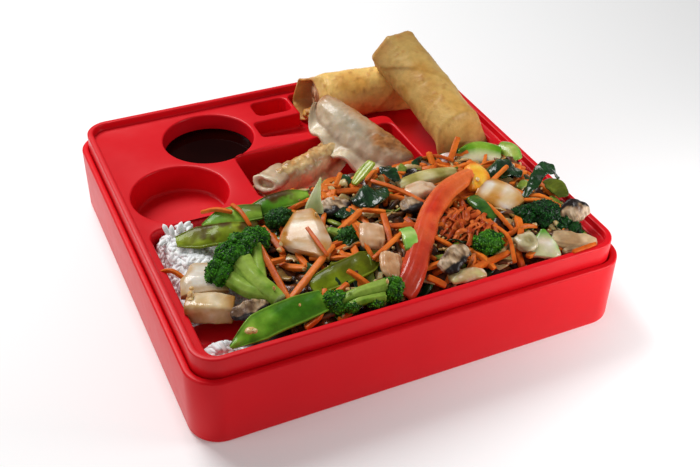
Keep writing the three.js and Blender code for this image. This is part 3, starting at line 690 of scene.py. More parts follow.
def lump(at, radii, rough=0.12, rows=22, columns=30, grain=0.8, seed=1):
    """An uneven rounded lump; grain is the share of its size that its bumps take."""
    rise = np.linspace(-88, 88, rows)
    turn = np.arange(columns) * 360 / columns
    lat, lon = np.radians(np.meshgrid(rise, turn, indexing="ij"))
    ball = np.stack([np.cos(lat) * np.cos(lon), -np.cos(lat) * np.sin(lon), np.sin(lat)], axis=-1)
    form = Form(ball, (rise[:, None] + 88) / 176 + 0 * lon, ball[..., 0], ball[..., 2])
    swell = 1 + rough * form.noise(grain, seed, 3)
    form.grid = ball * swell[..., None] * np.array(radii) + np.array(at)
    return form


def one_piece(name, forms):
    """Joins forms with their tints into one mesh object."""
    points, faces, first = [], [], 0
    for form in forms:
        points.append(form.points())
        faces += form.faces(first)
        first += form.t.size
    tint = np.vstack([form.tint.reshape(-1, 3) for form in forms])
    return new_piece(name, np.vstack(points), faces, np.clip(tint, 0, 1))


def join(piece, other):
    """Adds another mesh object to a piece."""
    with bpy.context.temp_override(active_object=piece, selected_editable_objects=[piece, other]):
        bpy.ops.object.join()


BED_GAP = 0.4
BED_LIFT = 0.3


def within_pocket(points):
    """Keeps points inside the main pocket's rounded outline."""
    p = MAIN_POCKET
    low, high = np.array([p["x0"], p["y0"]]), np.array([p["x1"], p["y1"]])
    points = np.array(points, float)
    points[:, :2] = np.clip(points[:, :2], low + BED_GAP, high - BED_GAP)
    radius = p["corner"] - BED_GAP
    nearest = np.clip(points[:, :2], low + p["corner"], high - p["corner"])
    offset = points[:, :2] - nearest
    far = np.linalg.norm(offset, axis=1)
    corner = (np.abs(offset) > 1e-6).all(axis=1) & (far > radius)
    points[corner, :2] = nearest[corner] + offset[corner] / far[corner, None] * radius
    return points


def food_bed(name, x0, x1, cell, height, colour):
    """A bed of food in the main pocket from x0 to x1; its top follows height(x, y)."""
    y0, y1 = MAIN_POCKET["y0"] + BED_GAP, MAIN_POCKET["y1"] - BED_GAP
    xs = np.linspace(x0, x1, int((x1 - x0) / cell) + 1)
    ys = np.linspace(y0, y1, int((y1 - y0) / cell) + 1)
    x, y = (a.ravel() for a in np.meshgrid(xs, ys))
    top = within_pocket(np.c_[x, y, height(x, y)])
    columns, rows = len(xs), len(ys)
    faces = grid_faces(rows, columns, closed=False)
    last = rows * columns - 1
    edge = list(range(columns)) + [r * columns + columns - 1 for r in range(1, rows)]
    edge += [last - c for c in range(1, columns)] + [r * columns for r in range(rows - 2, 0, -1)]
    foot = top[edge].copy()
    foot[:, 2] = MAIN_POCKET["floor"] + BED_LIFT
    base, around = len(top), len(edge)
    for k, here in enumerate(edge):
        n = (k + 1) % around
        faces.append((here, base + k, base + n, edge[n]))
    faces.append(tuple(range(base + around - 1, base - 1, -1)))
    points = np.vstack([top, foot])
    return new_piece(name, points, faces, colour(points))


# ---------------------------------------------------------------- strewn food

STREWN_INPUTS = {
    "Geometry": "Geometry", "Thing": "Object", "Material": "Material", "Density": "Float", "Spacing": "Float",
    "Seed": "Int", "Tilt": "Float", "Sink": "Float", "Small": "Float", "Large": "Float", "Dark": "Color",
    "Light": "Color",
}


def scatter_tree(name):
    """A Geometry Nodes tree that strews copies of a small thing over a mesh and keeps both."""
    tree = bpy.data.node_groups.new(name, "GeometryNodeTree")
    for label, kind in STREWN_INPUTS.items():
        tree.interface.new_socket(label, in_out="INPUT", socket_type="NodeSocket" + kind)
    tree.interface.new_socket("Geometry", in_out="OUTPUT", socket_type="NodeSocketGeometry")
    given = add_node(tree, "NodeGroupInput").outputs

    def made(kind, inputs, output=0, **settings):
        return add_node(tree, kind, inputs, **settings).outputs[output]

    def random(low, high, step, kind="FLOAT"):
        """A value for each copy, between low and high; step keeps the draws apart."""
        first = 2 if kind == "FLOAT" else 0
        seed = made("ShaderNodeMath", {0: given["Seed"], 1: step})
        return made(
            "FunctionNodeRandomValue", {first: low, first + 1: high, "Seed": seed}, first // 2,
            data_type=kind,
        )

    def negative(value):
        return made("ShaderNodeMath", {0: value, 1: -1}, operation="MULTIPLY")

    where = made("GeometryNodeInputNamedAttribute", {"Name": "spread"}, "Attribute", data_type="FLOAT")
    spread = add_node(tree, "GeometryNodeDistributePointsOnFaces", {
        "Mesh": given["Geometry"], "Distance Min": given["Spacing"], "Density Max": given["Density"],
        "Density Factor": where, "Seed": given["Seed"],
    }, distribute_method="POISSON").outputs
    tilt = given["Tilt"]
    low = made("ShaderNodeCombineXYZ", {"X": negative(tilt), "Y": negative(tilt)})
    high = made("ShaderNodeCombineXYZ", {"X": tilt, "Y": tilt, "Z": 2 * math.pi})
    lean = made("FunctionNodeEulerToRotation", {"Euler": random(low, high, 1, "FLOAT_VECTOR")})
    turned = made(
        "FunctionNodeRotateRotation", {"Rotation": spread["Rotation"], "Rotate By": lean},
        rotation_space="LOCAL",
    )
    sunk = {0: spread["Normal"], "Scale": random(negative(given["Sink"]), 0.0, 2)}
    down = made("ShaderNodeVectorMath", sunk, operation="SCALE")
    copies = made("GeometryNodeInstanceOnPoints", {
        "Points": made("GeometryNodeSetPosition", {"Geometry": spread["Points"], "Offset": down}),
        "Instance": made("GeometryNodeObjectInfo", {"Object": given["Thing"]}, "Geometry"),
        "Rotation": turned, "Scale": random(given["Small"], given["Large"], 3),
    })
    blend = made(
        "ShaderNodeMix", {0: random(0.0, 1.0, 4), 6: given["Dark"], 7: given["Light"]}, 2, data_type="RGBA",
    )
    stored = made(
        "GeometryNodeStoreNamedAttribute", {"Geometry": copies, "Name": "tint", "Value": blend},
        data_type="FLOAT_COLOR", domain="INSTANCE",
    )
    both = add_node(
        tree, "GeometryNodeJoinGeometry", {0: made("GeometryNodeRealizeInstances", {"Geometry": stored})},
    )
    feed(tree, both.inputs[0], given["Geometry"])
    finish = made("GeometryNodeSetMaterial", {"Geometry": both.outputs[0], "Material": given["Material"]})
    add_node(tree, "NodeGroupOutput", {0: finish})
    return tree


def strew(piece, thing, material, spread, **values):
    """Strews copies of a thing over a piece where spread, one number a point, allows it."""
    layer = piece.data.attributes.new("spread", "FLOAT", "POINT")
    layer.data.foreach_set("value", np.asarray(spread, np.float32).ravel())
    tree = bpy.data.node_groups.get("strewn") or scatter_tree("strewn")
    modifier = piece.modifiers.new("strewn", "NODES")
    modifier.node_group = tree
    values.update(Thing=thing, Material=material)
    for item in tree.interface.items_tree:
        if item.in_out == "INPUT" and item.name in values:
            value = values[item.name]
            modifier[item.identifier] = (*value, 1.0) if item.name in ("Dark", "Light") else value
    baked(piece)
    piece.data.attributes.remove(piece.data.attributes["spread"])
    old = thing.data
    bpy.data.objects.remove(thing)
    bpy.data.meshes.remove(old)
    return piece


def small_thing(name, width, long, rows=5, columns=6, ends=(0.4, 0.4)):
    """A template for strewing: a small rounded body along X."""
    half = long / 2
    profile = [(0, 0.05)] + [(t, 1) for t in np.linspace(0.08, 0.92, rows - 2)] + [(1, 0.05)]
    form = swept([(-half, 0, 0), (half, 0, 0)], width, columns=columns, ends=ends, profile=profile)
    thing = one_piece(name, [form])
    thing.data.attributes.remove(thing.data.attributes["tint"])
    return thing


# ---------------------------------------------------------------- food finishes

SAUCE_IOR = 1.33


def cooked(
    name, rough, coat, through, depth, patches, grain, glow=(1.0, 0.45, 0.2), coat_rough=0.12, shine=0.25,
):
    """Cooked food. Its colour is the piece's own tint with patches over it.

    coat is the sauce on it, shine the bare skin's own, through and depth say how far light enters,
    patches is (scale, darkest) and grain is (scale, strength, height) of its fine relief.
    """
    look = Look(
        name, Roughness=rough, Coat_Weight=coat, Coat_Roughness=coat_rough, Coat_IOR=SAUCE_IOR,
        Specular_IOR_Level=shine, Subsurface_Weight=through, Subsurface_Scale=depth * MM,
        Subsurface_Radius=glow,
    )
    tint = add_node(look.tree, "ShaderNodeAttribute", attribute_name="tint").outputs["Color"]
    scale, dark = patches
    cloud = look.noise(scale, 5)
    shade = look.ramp(cloud, (0.34, (dark, dark, dark * 0.96)), (0.66, (1, 1, 1)))
    look.set(Base_Color=look.mix("MULTIPLY", 1.0, tint, shade))
    look.bump(cloud, 0.25, 0.0006)
    scale, strength, height = grain
    look.bump(look.noise(scale, 3), strength, height * MM)
    look.vary_roughness(cloud, max(0.05, rough - 0.1), rough + 0.12)
    return look.material


# ---------------------------------------------------------------- rolls and dumplings

WRAPPER = dict(
    pale=srgb(226, 184, 106), gold=srgb(212, 158, 76), brown=srgb(176, 104, 46),
    inside=srgb(204, 134, 84), filling=srgb(212, 158, 122),
)
ROLL_RADIUS = 15.2
ROLL_SQUASH = 0.96
MOUTH_SLANT = 12
MOUTH_ROWS = 7
WRAP_STEP = 0.05
WRAP_TURNS = 0.9
# shade is painted light: it brightens the back roll, in the top roll's shade, and darkens the top roll.
ROLLS = {
    "spring_roll_back": dict(
        path=[(15, 92.5, 52.6), (57, 87.5, 52.6), (97, 82, 52.6)], open_end=True, seed=3,
        shade=(1.1, 1.42),
    ),
    "spring_roll_top": dict(
        path=[(79.5, 85.5, 81.3), (86.5, 44, 66.8), (92.6, 4.5, 52.8)], open_end=False, seed=8,
        shade=(0.72, 0.98),
    ),
}
OPEN_END = [
    (0.2, 0.03), (0.2, 0.4), (0.19, 0.8), (0.15, 0.86), (0.1, 0.87), (0.05, 0.88), (0.01, 0.89),
    (0.0, 0.92), (0.0, 0.97), (0.01, 0.99),
]
FOLDED_END = [(0.0, 0.03), (0.0, 0.4), (0.002, 0.78), (0.012, 0.92), (0.03, 0.98)]
SHUT_END = [(0.97, 1.0), (0.99, 0.95), (0.998, 0.84), (1.0, 0.45), (1.0, 0.03)]
FLAPS = {
    "filled": dict(path=[(26, 90.5, 53), (40, 88.5, 53)], width=17, thick=21),
    "loop": dict(path=[(17.5, 81.5, 47), (30, 87, 45)], width=9.5, thick=7.5),
}
FLAP_LIP = [(0.6, 0.03), (0.59, 0.3), (0.4, 0.62), (0.1, 0.72), (0.0, 0.8), (-0.01, 0.93), (0.05, 1.0)]
TUBE_END = [(1.0, 0.9), (1.0, 0.03)]


def even_rows(start, end, count):
    """Rows of full size for a profile."""
    return [(t, 1.0) for t in np.linspace(start, end, count)]


def spring_roll(path, open_end, seed, shade):
    """A deep-fried roll: the wrapper's last edge runs round it as a low step, its ends have folds.

    shade is painted light and shade: a scale on its colour from its first end to 0.7 along it.
    """
    def wrapped(t, a, u, v):
        flap = (a / (2 * np.pi) - WRAP_TURNS * t + (0.62 if open_end else 0.15)) % 1.0
        step = WRAP_STEP * smooth_step(flap, 0.0, 0.02) * (1 - smooth_step(flap, 0.2, 1.0))
        flat = 0.018 * np.cos(3 * a + 2.0 * seed + 3 * t)
        side = (a + open_end * math.pi / 6) % (math.pi / 3) - math.pi / 6
        six = 1.06 * math.cos(math.pi / 6) / np.cos(side)
        size = (1 + step + flat) * (1 + smooth_step(-t, -0.22, -0.02) * (six - 1))
        pressed = 0.85 * smooth_step(t, 0.84, 1.0) * np.maximum(v + 0.75, 0)
        wide = (0.12 + 0.3 * (1 - open_end) * (u < 0)) * smooth_step(t, 0.8, 1.0)
        return u * size * (1 + wide), (v - pressed) * size

    form = swept(
        path, 2 * ROLL_RADIUS, 2 * ROLL_RADIUS * ROLL_SQUASH, columns=96, boxy=2.08,
        ends=(0.97 if open_end else 1.12, 0.98), section=wrapped,
        profile=(OPEN_END if open_end else FOLDED_END) + even_rows(0.04, 0.955, 96) + SHUT_END,
    )
    creases = form.noise(9, seed, 3)
    form.push(0.35 * creases + 0.12 * form.noise(2.0, seed + 9))
    blister = smooth_step(form.noise(3.4, seed + 4), 0.45, 0.8)
    form.push(0.22 * blister)
    end = np.maximum(smooth_step(-form.t, -0.16, -0.0), smooth_step(form.t, 0.86, 1.0))
    tone = 0.5 + 0.5 * form.noise(16, seed + 2, 3)
    form.shade([(0.1, WRAPPER["gold"]), (0.6, WRAPPER["pale"])], tone)
    # Painted light and shade: the colour is scaled along the roll by its shade pair.
    form.tint = form.tint * np.interp(form.t, (0, 0.7), shade)[..., None]
    form.paint(WRAPPER["brown"], 0.6 * end * (0.6 + 0.5 * form.noise(5, seed + 6)))
    form.paint(WRAPPER["brown"], 0.35 * blister + 0.3 * smooth_step(creases, 0.5, 1.0))
    if open_end:
        slant = MOUTH_SLANT * np.clip(0.5 + 0.35 * form.u + 0.35 * form.v, 0, 1)
        front = slant * smooth_step(-form.t, -0.3, 0.0)
        form.grid = form.grid + unit(np.subtract(path[1], path[0])) * front[..., None]
        mouth = smooth_step(form.t[:MOUTH_ROWS], -0.02, 0.13)
        form.tint[:MOUTH_ROWS] = toward(form.tint[:MOUTH_ROWS], WRAPPER["inside"], mouth)
    return form


def roll_flap(kind, seed):
    """A tube of the wrapper's loose inner layer in the open end."""
    profile = FLAP_LIP + even_rows(0.12, 0.9, 12) + TUBE_END
    form = swept(**FLAPS[kind], columns=48, profile=profile, ends=(1, 1), boxy=2.4)
    form.push(0.5 * form.noise(5, seed, 2))
    form.shade([(-0.6, WRAPPER["brown"]), (0.6, WRAPPER["gold"])], form.noise(4, seed))
    form.tint[:3] = WRAPPER["inside"]
    if kind == "filled":
        form.paint(WRAPPER["filling"], np.full(form.t.shape, 0.8))
    return form


DOUGH = dict(
    pale=srgb(206, 182, 148), cream=srgb(236, 218, 190), grey=srgb(164, 158, 140),
    brown=srgb(182, 122, 70), dark=srgb(124, 72, 38),
)
# The lower dumpling's colour gain is painted light, against the shade and red bounce it gets.
DUMPLINGS = {
    "dumpling_top": dict(
        start=(25.5, 71.5, 64.5), end=(58, 7.5, 46.5), seam=(-1, -0.1, -0.12), depth=32, belly=10.5,
        seed=2, crust=(0.5, 0.28, 1.3), painted_light_gain=(1, 1, 1), uneven=0.4,
    ),
    "dumpling_low": dict(
        start=(-43, 20, 47), end=(24, 47, 49), seam=(0.15, -0.75, -0.6), depth=23, belly=9.5, seed=5,
        crust=(0.1, 0.9, 0.5), painted_light_gain=(1.45, 1.6, 1.3), uneven=1.3,
    ),
}
DUMPLING_SECTION = np.array([
    (0, 0.7), (0.1, 0.92), (0.28, 1), (0.5, 0.86), (0.6, 0.5), (0.68, 0.16), (0.75, 0.07), (0.92, 0.08),
    (1, 0.17),
])
DUMPLING_ROWS = 90
DUMPLING_SIDE = 34
DUMPLING_BASE = 10
END_REACH = 5
DOUGH_THICK = 0.95
FRILL = 2.8
RING_LIP = [
    (0.3, 0.03), (0.3, 0.28), (0.26, 0.42), (0.14, 0.5), (0.05, 0.57), (0.0, 0.74), (0.02, 0.92),
    (0.1, 1.0),
]
RING_PATH = [(-38, 13.5, 50.8), (-33.5, 17.5, 48), (-21, 26, 47.5)]


def dumpling(start, end, seam, depth, belly, seed, crust, painted_light_gain, uneven):
    """A half-moon dumpling: its browned base runs from start to end, its frilled seam stands out.

    crust is the centre, spread and strength of its browning, and uneven the height of its dents.
    The gain on its colour is painted light, brightening it against the shade and red bounce it gets.
    """
    start, end = np.array(start, float), np.array(end, float)
    axis = unit(end - start)
    out = np.array(seam, float)
    out = unit(out - out @ axis * axis)
    face = np.cross(out, axis)
    across = np.linspace(-0.985, 0.985, DUMPLING_ROWS)
    flat = np.linspace(1, -1, DUMPLING_BASE + 2)[1:-1]
    up = np.linspace(0, 1, DUMPLING_SIDE)
    rise = np.concatenate([up, np.linspace(1, 0, DUMPLING_SIDE), -0.05 * (1 - flat**2)])
    sign = np.concatenate([np.repeat([-1.0, 1.0], DUMPLING_SIDE), flat])
    u, v = np.meshgrid(across, rise, indexing="ij")
    bowed = np.sqrt(1 - u * u)
    reach = END_REACH + (depth - END_REACH) * bowed ** 0.8
    kernel = np.array([1, 2, 3, 2, 1]) / 9
    width = np.interp(up, *DUMPLING_SECTION.T)
    width = np.convolve(np.pad(width, 2, "edge"), kernel, "valid")
    width = np.concatenate([width, width[::-1], np.repeat(width[:1], DUMPLING_BASE)])
    pleats = 0.035 * np.sin(u * 26 + seed) * hump(v, 0.62, 0.14)
    wave = np.where(v > 0.6, FRILL * np.sin(11 * u) * (v - 0.6) * 2.8, 0)
    reach = reach * (1 + 0.025 * np.sin(9 * u + seed) * smooth_step(v, 0.6, 1.0))
    half = np.maximum(DOUGH_THICK, belly * (width + pleats * (width > 0.15)) * bowed ** 0.7)
    middle = start + (end - start) * ((u[..., None] + 1) / 2)
    grid = middle + out * (v * reach)[..., None] + face * (sign * half + wave)[..., None]
    form = Form(grid, (u + 1) / 2, sign * np.ones_like(u), v)

    bubbles = smooth_step(np.abs(form.noise(3.2, seed + 11, 2)), 0.0, 0.45) * (v < 0.55)
    place, spread, strength = crust
    browned = strength * hump(u, place, spread) * (1 - smooth_step(v, 0.3, 0.6))
    dents = uneven * form.noise(6, seed, 3) * (v < 0.7)
    form.push(dents + 0.12 * form.noise(1.8, seed + 3) + 0.45 * bubbles * browned)
    mottle = form.noise(5, seed + 1, 3)
    form.shade([(-0.5, DOUGH["pale"]), (0.6, DOUGH["cream"])], mottle)
    form.paint(DOUGH["grey"], 0.75 * (hump(v, 0.36, 0.17) * hump(u, 0, 0.6)))
    form.paint(DOUGH["brown"], browned * (0.95 + 0.6 * form.noise(3, seed + 12)))
    form.paint(DOUGH["dark"], 0.6 * browned * smooth_step(form.noise(2.4, seed + 13, 2), 0.1, 0.6))
    base = hump(v, 0, 0.24) + 0.5 * smooth_step(np.abs(u), 0.6, 0.95) * (v < 0.7)
    form.paint(DOUGH["brown"], base * (0.6 + 0.7 * mottle))
    form.paint(DOUGH["dark"], 0.7 * hump(v, 0, 0.14) * smooth_step(form.noise(3, seed + 7), 0.1, 0.5))
    # Painted shade in the groove between the body and the flat frill.
    form.paint(DOUGH["dark"], 0.5 * hump(v, 0.7, 0.06))
    form.paint(DOUGH["cream"], 0.85 * smooth_step(v, 0.8, 0.96))
    # Painted light: the whole colour is brightened by the gain.
    form.tint = form.tint * np.array(painted_light_gain)
    return form


def dumpling_ring():
    """The lower dumpling's tip: an open curl of dough with a thick pale lip."""
    def wavy(t, a, u, v):
        ripple = 1 + (0.1 * np.sin(3 * a + 0.6) + 0.08 * np.sin(2 * a + 2)) * (1 - t)
        return u * ripple, v * ripple

    profile = RING_LIP + even_rows(0.2, 0.9, 14) + TUBE_END
    form = swept(RING_PATH, 16.5, 10.4, columns=40, section=wavy, profile=profile, ends=(1, 1), boxy=2.1)
    form.push(0.7 * form.noise(4.5, 31, 3))
    inside = np.zeros(form.t.shape)
    inside[:4] = 1
    form.shade([(-0.6, DOUGH["pale"]), (0.2, DOUGH["cream"])], form.noise(5, 32))
    form.paint(DOUGH["brown"], 0.55 * inside + 0.4 * smooth_step(form.t, 0.2, 0.6))
    return form


# ---------------------------------------------------------------- rice

RICE_EDGE = -66
RICE_LEVEL = 34
RICE_HILLS = dict(
    back=((-97, -15), (20, 22), 16), middle=((-90, -48), (22, 22), 13), edge=((-70, -80), (9, 20), 13),
    corner=((-104, -100), (12, 9), 13), hollow=((-98, -80), (20, 12), -9),
)
RICE_SLOPE = 6
RICE_CELL = 1.5
RICE_LUMPS = 0.9
BAR_SINK = 2.0
GRAINS_ABOVE = 26
GRAINS_BEFORE = -6.5
GRAIN_WIDTH = 2.9
GRAIN_LENGTH = 6.8
GRAIN_DENSITY = 480000.0
GRAIN_SPACING = 1.45 * MM
# The faint blue in both rice colours is painted, offsetting the red light bounced from the tray.
RICE = dict(white=srgb(250, 251, 252), shade=srgb(240, 243, 246))
LOOSE_GRAINS = [
    [(-104.8, -8.7, 56.5), (-103, -12.8, 51)], [(-100.9, -10.8, 56.3), (-101.8, -15.5, 51)],
    [(-90.5, -12.5, 56.8), (-97.5, -13.5, 52)], [(-95, -11.6, 57.3), (-98.8, -14.5, 52)],
    [(-94, -18, 54.5), (-89.5, -11, 53.5)], [(-110.5, -19, 50.5), (-105.5, -13, 49)],
    [(-99, -10, 54), (-93, -15, 54.5)],
]


def hill(x, y, centre, spread, lift):
    """A rounded hill; spread is its reach along x and along y."""
    return lift * np.exp(-(((x - centre[0]) / spread[0]) ** 2) - ((y - centre[1]) / spread[1]) ** 2)


def rice_height(x, y):
    """The helping's hills, and its slope down to the pocket's left wall."""
    back, middle, edge, corner, hollow = (hill(x, y, *values) for values in RICE_HILLS.values())
    slope = smooth_step(-np.asarray(x, float), 105, 111) * smooth_step(y, -60, -45)
    return RICE_LEVEL + (back + middle) + (edge + corner) + hollow - RICE_SLOPE * slope


def rice_soaked(points):
    """How far the rice lies under the vegetables and their sauce."""
    return smooth_step(points[:, 0], -92, -84) * smooth_step(-points[:, 1], 62, 90)


def make_rice(seed, material):
    """The rice: a bed with grains strewn over it, and some loose ones."""
    def top(x, y):
        over_bar = (x < LOW_BAR["x1"] + 1) & (y > LOW_BAR["y0"] - 1) & (y < LOW_BAR["y1"] + 1)
        lumps = RICE_LUMPS * layered(np.c_[x, y, 0 * x], 7, 3)
        return rice_height(x, y) - RICE_LUMPS + lumps + np.where(over_bar, -BAR_SINK, 0.0)

    def colour(points):
        tint = between([(-0.6, RICE["shade"]), (0.3, RICE["white"])], noise(points, 3, 6))
        return toward(tint, HEAP["sauce"], rice_soaked(points))

    bed = food_bed("rice_helping", MAIN_POCKET["x0"] + BED_GAP, RICE_EDGE, RICE_CELL, top, colour)
    points = np.empty(len(bed.data.vertices) * 3)
    bed.data.vertices.foreach_get("co", points)
    points = points.reshape(-1, 3) / MM
    clear = (points[:, 2] > GRAINS_ABOVE) * (points[:, 1] < GRAINS_BEFORE) * (rice_soaked(points) < 0.2)
    grain = small_thing("grain", GRAIN_WIDTH, GRAIN_LENGTH, 7, 8, ends=(0.7, 0.7))
    strew(
        bed, grain, material, clear, Density=GRAIN_DENSITY, Spacing=GRAIN_SPACING, Seed=seed, Tilt=0.24,
        Sink=1.1 * MM, Small=0.9, Large=1.15, Dark=RICE["shade"], Light=RICE["white"],
    )
    loose = [swept(path, GRAIN_WIDTH, rows=8, columns=12, ends=(0.5, 0.5), cap=1.6) for path in LOOSE_GRAINS]
    for form in loose:
        form.tint *= RICE["white"]
    join(bed, one_piece("loose_grains", loose))
    return bed


# ---------------------------------------------------------------- the stir-fry's heap

HEAP_LEVEL = 46.4
HEAP_RISE = 11.2
HEART_CELL = 1.1
STREWN_X = (-64, 110)
STREWN_Y = (-107.5, -3)
# The heap's dark tones are partly the sauce's own colour and partly painted shade of its depths.
HEAP = dict(sauce=srgb(36, 18, 6), brown=srgb(124, 62, 20), wet=srgb(80, 40, 14), amber=srgb(184, 96, 28))
CARROT = dict(light=srgb(238, 126, 42), deep=srgb(198, 80, 18))
STICK_SIDE = 3.5
THIN_STICK_SIDE = 2.3
STICK_PROUD = 1.1
STREWN_STICK = dict(length=(14, 36), rise=(-1.0, 1.2), side=(2.0, 4.2))
STICKS = [
    [(-64, -48, 58), (-64, -91, 53)], [(-63, -90, 53), (-29, -66, 60)], [(-56, -32, 56), (-53, -55, 54)],
    [(-68, -59, 53), (-54, -61, 55)], [(-74, -9, 54), (-60, -12, 53)], [(-15, -18, 58), (5, -26, 60)],
    [(-22, -56, 59), (-3, -45, 61)], [(7, -51, 61), (0, -76, 58)], [(58, -9, 62), (56, -22, 55)],
    [(78, -8, 67), (64, -21, 55)], [(54, -77, 57), (60, -96, 54)], [(39, -89, 53), (46, -107, 50)],
    [(26, -104, 50), (58, -102, 54)], [(9, -101, 52), (17, -107, 48)], [(67, -106, 51), (80, -103, 52)],
    [(5, -62, 59), (21, -69, 60)], [(2, -88, 57), (-14, -107, 51)],
]
THIN_STICKS = [
    [(-82, -5, 55.5), (-75, -12, 60), (-68, -18, 60)], [(-66, -11, 60), (-64, -21, 61), (-62.5, -31, 58)],
    [(-13, -56, 61.5), (-14, -70, 62), (-14, -83, 59)], [(-15, -85, 60), (-2, -79, 62), (10, -72, 62)],
    [(12, -25, 64), (23, -40, 64), (32, -58, 63)], [(75, -51, 62), (90, -45, 66)],
    [(54, -75, 60), (61, -94, 58), (57, -109, 52.5)], [(64, -66, 61), (68, -90, 56)],
    [(-115, -36, 47), (-105, -47, 47)], [(-39, -54, 66), (-37, -77, 63)], [(-7, -19, 62), (-2, -15, 67)],
    [(-3, -46, 62), (8, -53, 62)], [(90, -114, 53), (106, -113, 53)],
]


def heap_height(x, y):
    """The heap's top: it falls off to the front, the back, the left and the right."""
    front = smooth_step(y, -112, -80)
    back = 0.4 + 0.6 * smooth_step(-np.asarray(y, float), 0, 14)
    left = 0.25 + 0.75 * smooth_step(x, -70, -22)
    right = 0.55 + 0.45 * smooth_step(-np.asarray(x, float), -112, -96)
    bumps = 1.2 * np.sin(0.31 * x + 1) * np.sin(0.37 * y) + 0.8 * np.sin(0.63 * x + 0.5 * y)
    return HEAP_LEVEL + HEAP_RISE * front * back * left * right + bumps


def heap_core():
    """What lies deep in the heap, as relief: wet vegetables in sauce, dark partly with painted shade."""
    def top(x, y):
        return heap_height(x, y) - 1.6 + 1.7 * layered(np.c_[x, y, 0 * x], 7, 12, 4)

    def colour(points):
        # Dark tones: sauce colour and painted shade; the amber patches are partly painted glints of lit
        # sauce.
        stops = [(-0.5, HEAP["sauce"]), (0.1, HEAP["wet"]), (0.5, HEAP["brown"])]
        tint = between(stops, layered(points, 6, 21, 3))
        return toward(tint, HEAP["amber"], 0.6 * smooth_step(noise(points, 4, 28), 0.5, 0.8))

    return food_bed("stir_fry_heart", RICE_EDGE, MAIN_POCKET["x1"] - BED_GAP, HEART_CELL, top, colour)


def carrot_stick(path, side, seed):
    """A cut carrot stick with square edges, softened by cooking."""
    form = swept(
        path, side, min(side * 0.9, 2.6), rows=10, columns=16, boxy=5.5, ends=(0.9, 0.85), cap=0.4,
        roll=(seed * 37) % 60 - 30,
    )
    form.push(0.16 * form.noise(3, seed))
    tone = 0.5 + 0.5 * math.sin(seed * 2.4)
    form.shade([(-0.7, CARROT["deep"]), (0.7, CARROT["light"])], form.noise(7, seed) + 0.8 * tone - 0.2)
    return form


def raised(path):
    """A two-point stick with its middle lifted clear of the heap."""
    if len(path) > 2:
        return path
    middle = np.mean(path, axis=0)
    middle[2] = max(middle[2], float(heap_height(middle[0], middle[1])) + STICK_PROUD)
    return [path[0], tuple(middle), path[1]]


def laid_path(random, length, rise):
    """A bent path that lies on the heap at a random place."""
    x = random.uniform(-60, 106)
    y = random.uniform(-105, -8) if random.random() < 0.75 else random.uniform(-13, -3)
    angle = random.uniform(0, math.pi)
    bend = random.uniform(-0.12, 0.12) * length
    path = []
    for share in (-0.5, -0.15, 0.2, 0.5):
        bow = bend * (1 - 4 * share * share)
        px = np.clip(x + share * length * math.cos(angle) - bow * math.sin(angle), *STREWN_X)
        py = np.clip(y + share * length * math.sin(angle) + bow * math.cos(angle), *STREWN_Y)
        path.append((px, py, float(heap_height(px, py)) + rise + random.uniform(-0.6, 0.6)))
    return path


def carrots(seed, count):
    """The sticks that are listed, and those strewn through the heap."""
    random = np.random.default_rng(seed)
    forms = [carrot_stick(raised(path), STICK_SIDE, k) for k, path in enumerate(STICKS)]
    forms += [carrot_stick(raised(path), THIN_STICK_SIDE, 40 + k) for k, path in enumerate(THIN_STICKS)]
    for k in range(count):
        length, rise = (random.uniform(*STREWN_STICK[key]) for key in ("length", "rise"))
        path = laid_path(random, length, rise)
        forms.append(carrot_stick(path, random.uniform(*STREWN_STICK["side"]), 100 + k))
    return one_piece("carrot_sticks", forms)


STRIPS = {
    "cabbage_strips": dict(
        offset=1, count=100, width=(3, 7), thick=(1.2, 2.0), lengths=(10, 22),
        tones=(srgb(176, 136, 70), srgb(218, 196, 144)),
    ),
    "stem_strips": dict(
        offset=4, count=52, width=(3, 7), thick=(1.2, 2.0), lengths=(9, 20),
        tones=(srgb(92, 116, 26), srgb(160, 176, 72)),
    ),
    "leaf_strips": dict(
        offset=2, count=60, width=(4, 9), thick=(0.8, 1.2), lengths=(8, 18),
        tones=(srgb(12, 38, 22), srgb(40, 84, 36)),
    ),
    "mushroom_slivers": dict(
        offset=3, count=64, width=(3, 7), thick=(1.5, 3.0), lengths=(8, 16),
        tones=(srgb(52, 28, 16), srgb(140, 90, 54)),
    ),
}
STRIP_RISE = (-1.2, 0.6)
STRIP_ROLL = (-50, 50)


def strips(name, seed, offset, count, width, thick, lengths, tones):
    """Thin strips of one vegetable strewn through the heap."""
    random = np.random.default_rng(seed + offset)
    forms = []
    for k in range(count):
        path = laid_path(random, random.uniform(*lengths), random.uniform(*STRIP_RISE))
        form = swept(
            path, random.uniform(*width), random.uniform(*thick), rows=8, columns=10, boxy=3, sheet=True,
            cap=0.5, ends=(0.6, 0.6), roll=random.uniform(*STRIP_ROLL),
        )
        form.push(0.25 * form.noise(3, k))
        form.shade([(-0.6, tones[0]), (0.6, tones[1])], form.noise(5, k + 7))
        forms.append(form)
    return one_piece(name, forms)


CLUMP = dict(x=(34, 58), y=(-86, -64), top=59.6, count=90, seed=77)
CLUMP_TONES = (srgb(170, 62, 20), srgb(226, 116, 50))
CLUMP_DROOP = ((-1, 2.0), (-0.35, 0.3), (0.3, 0.0), (1, 1.4))


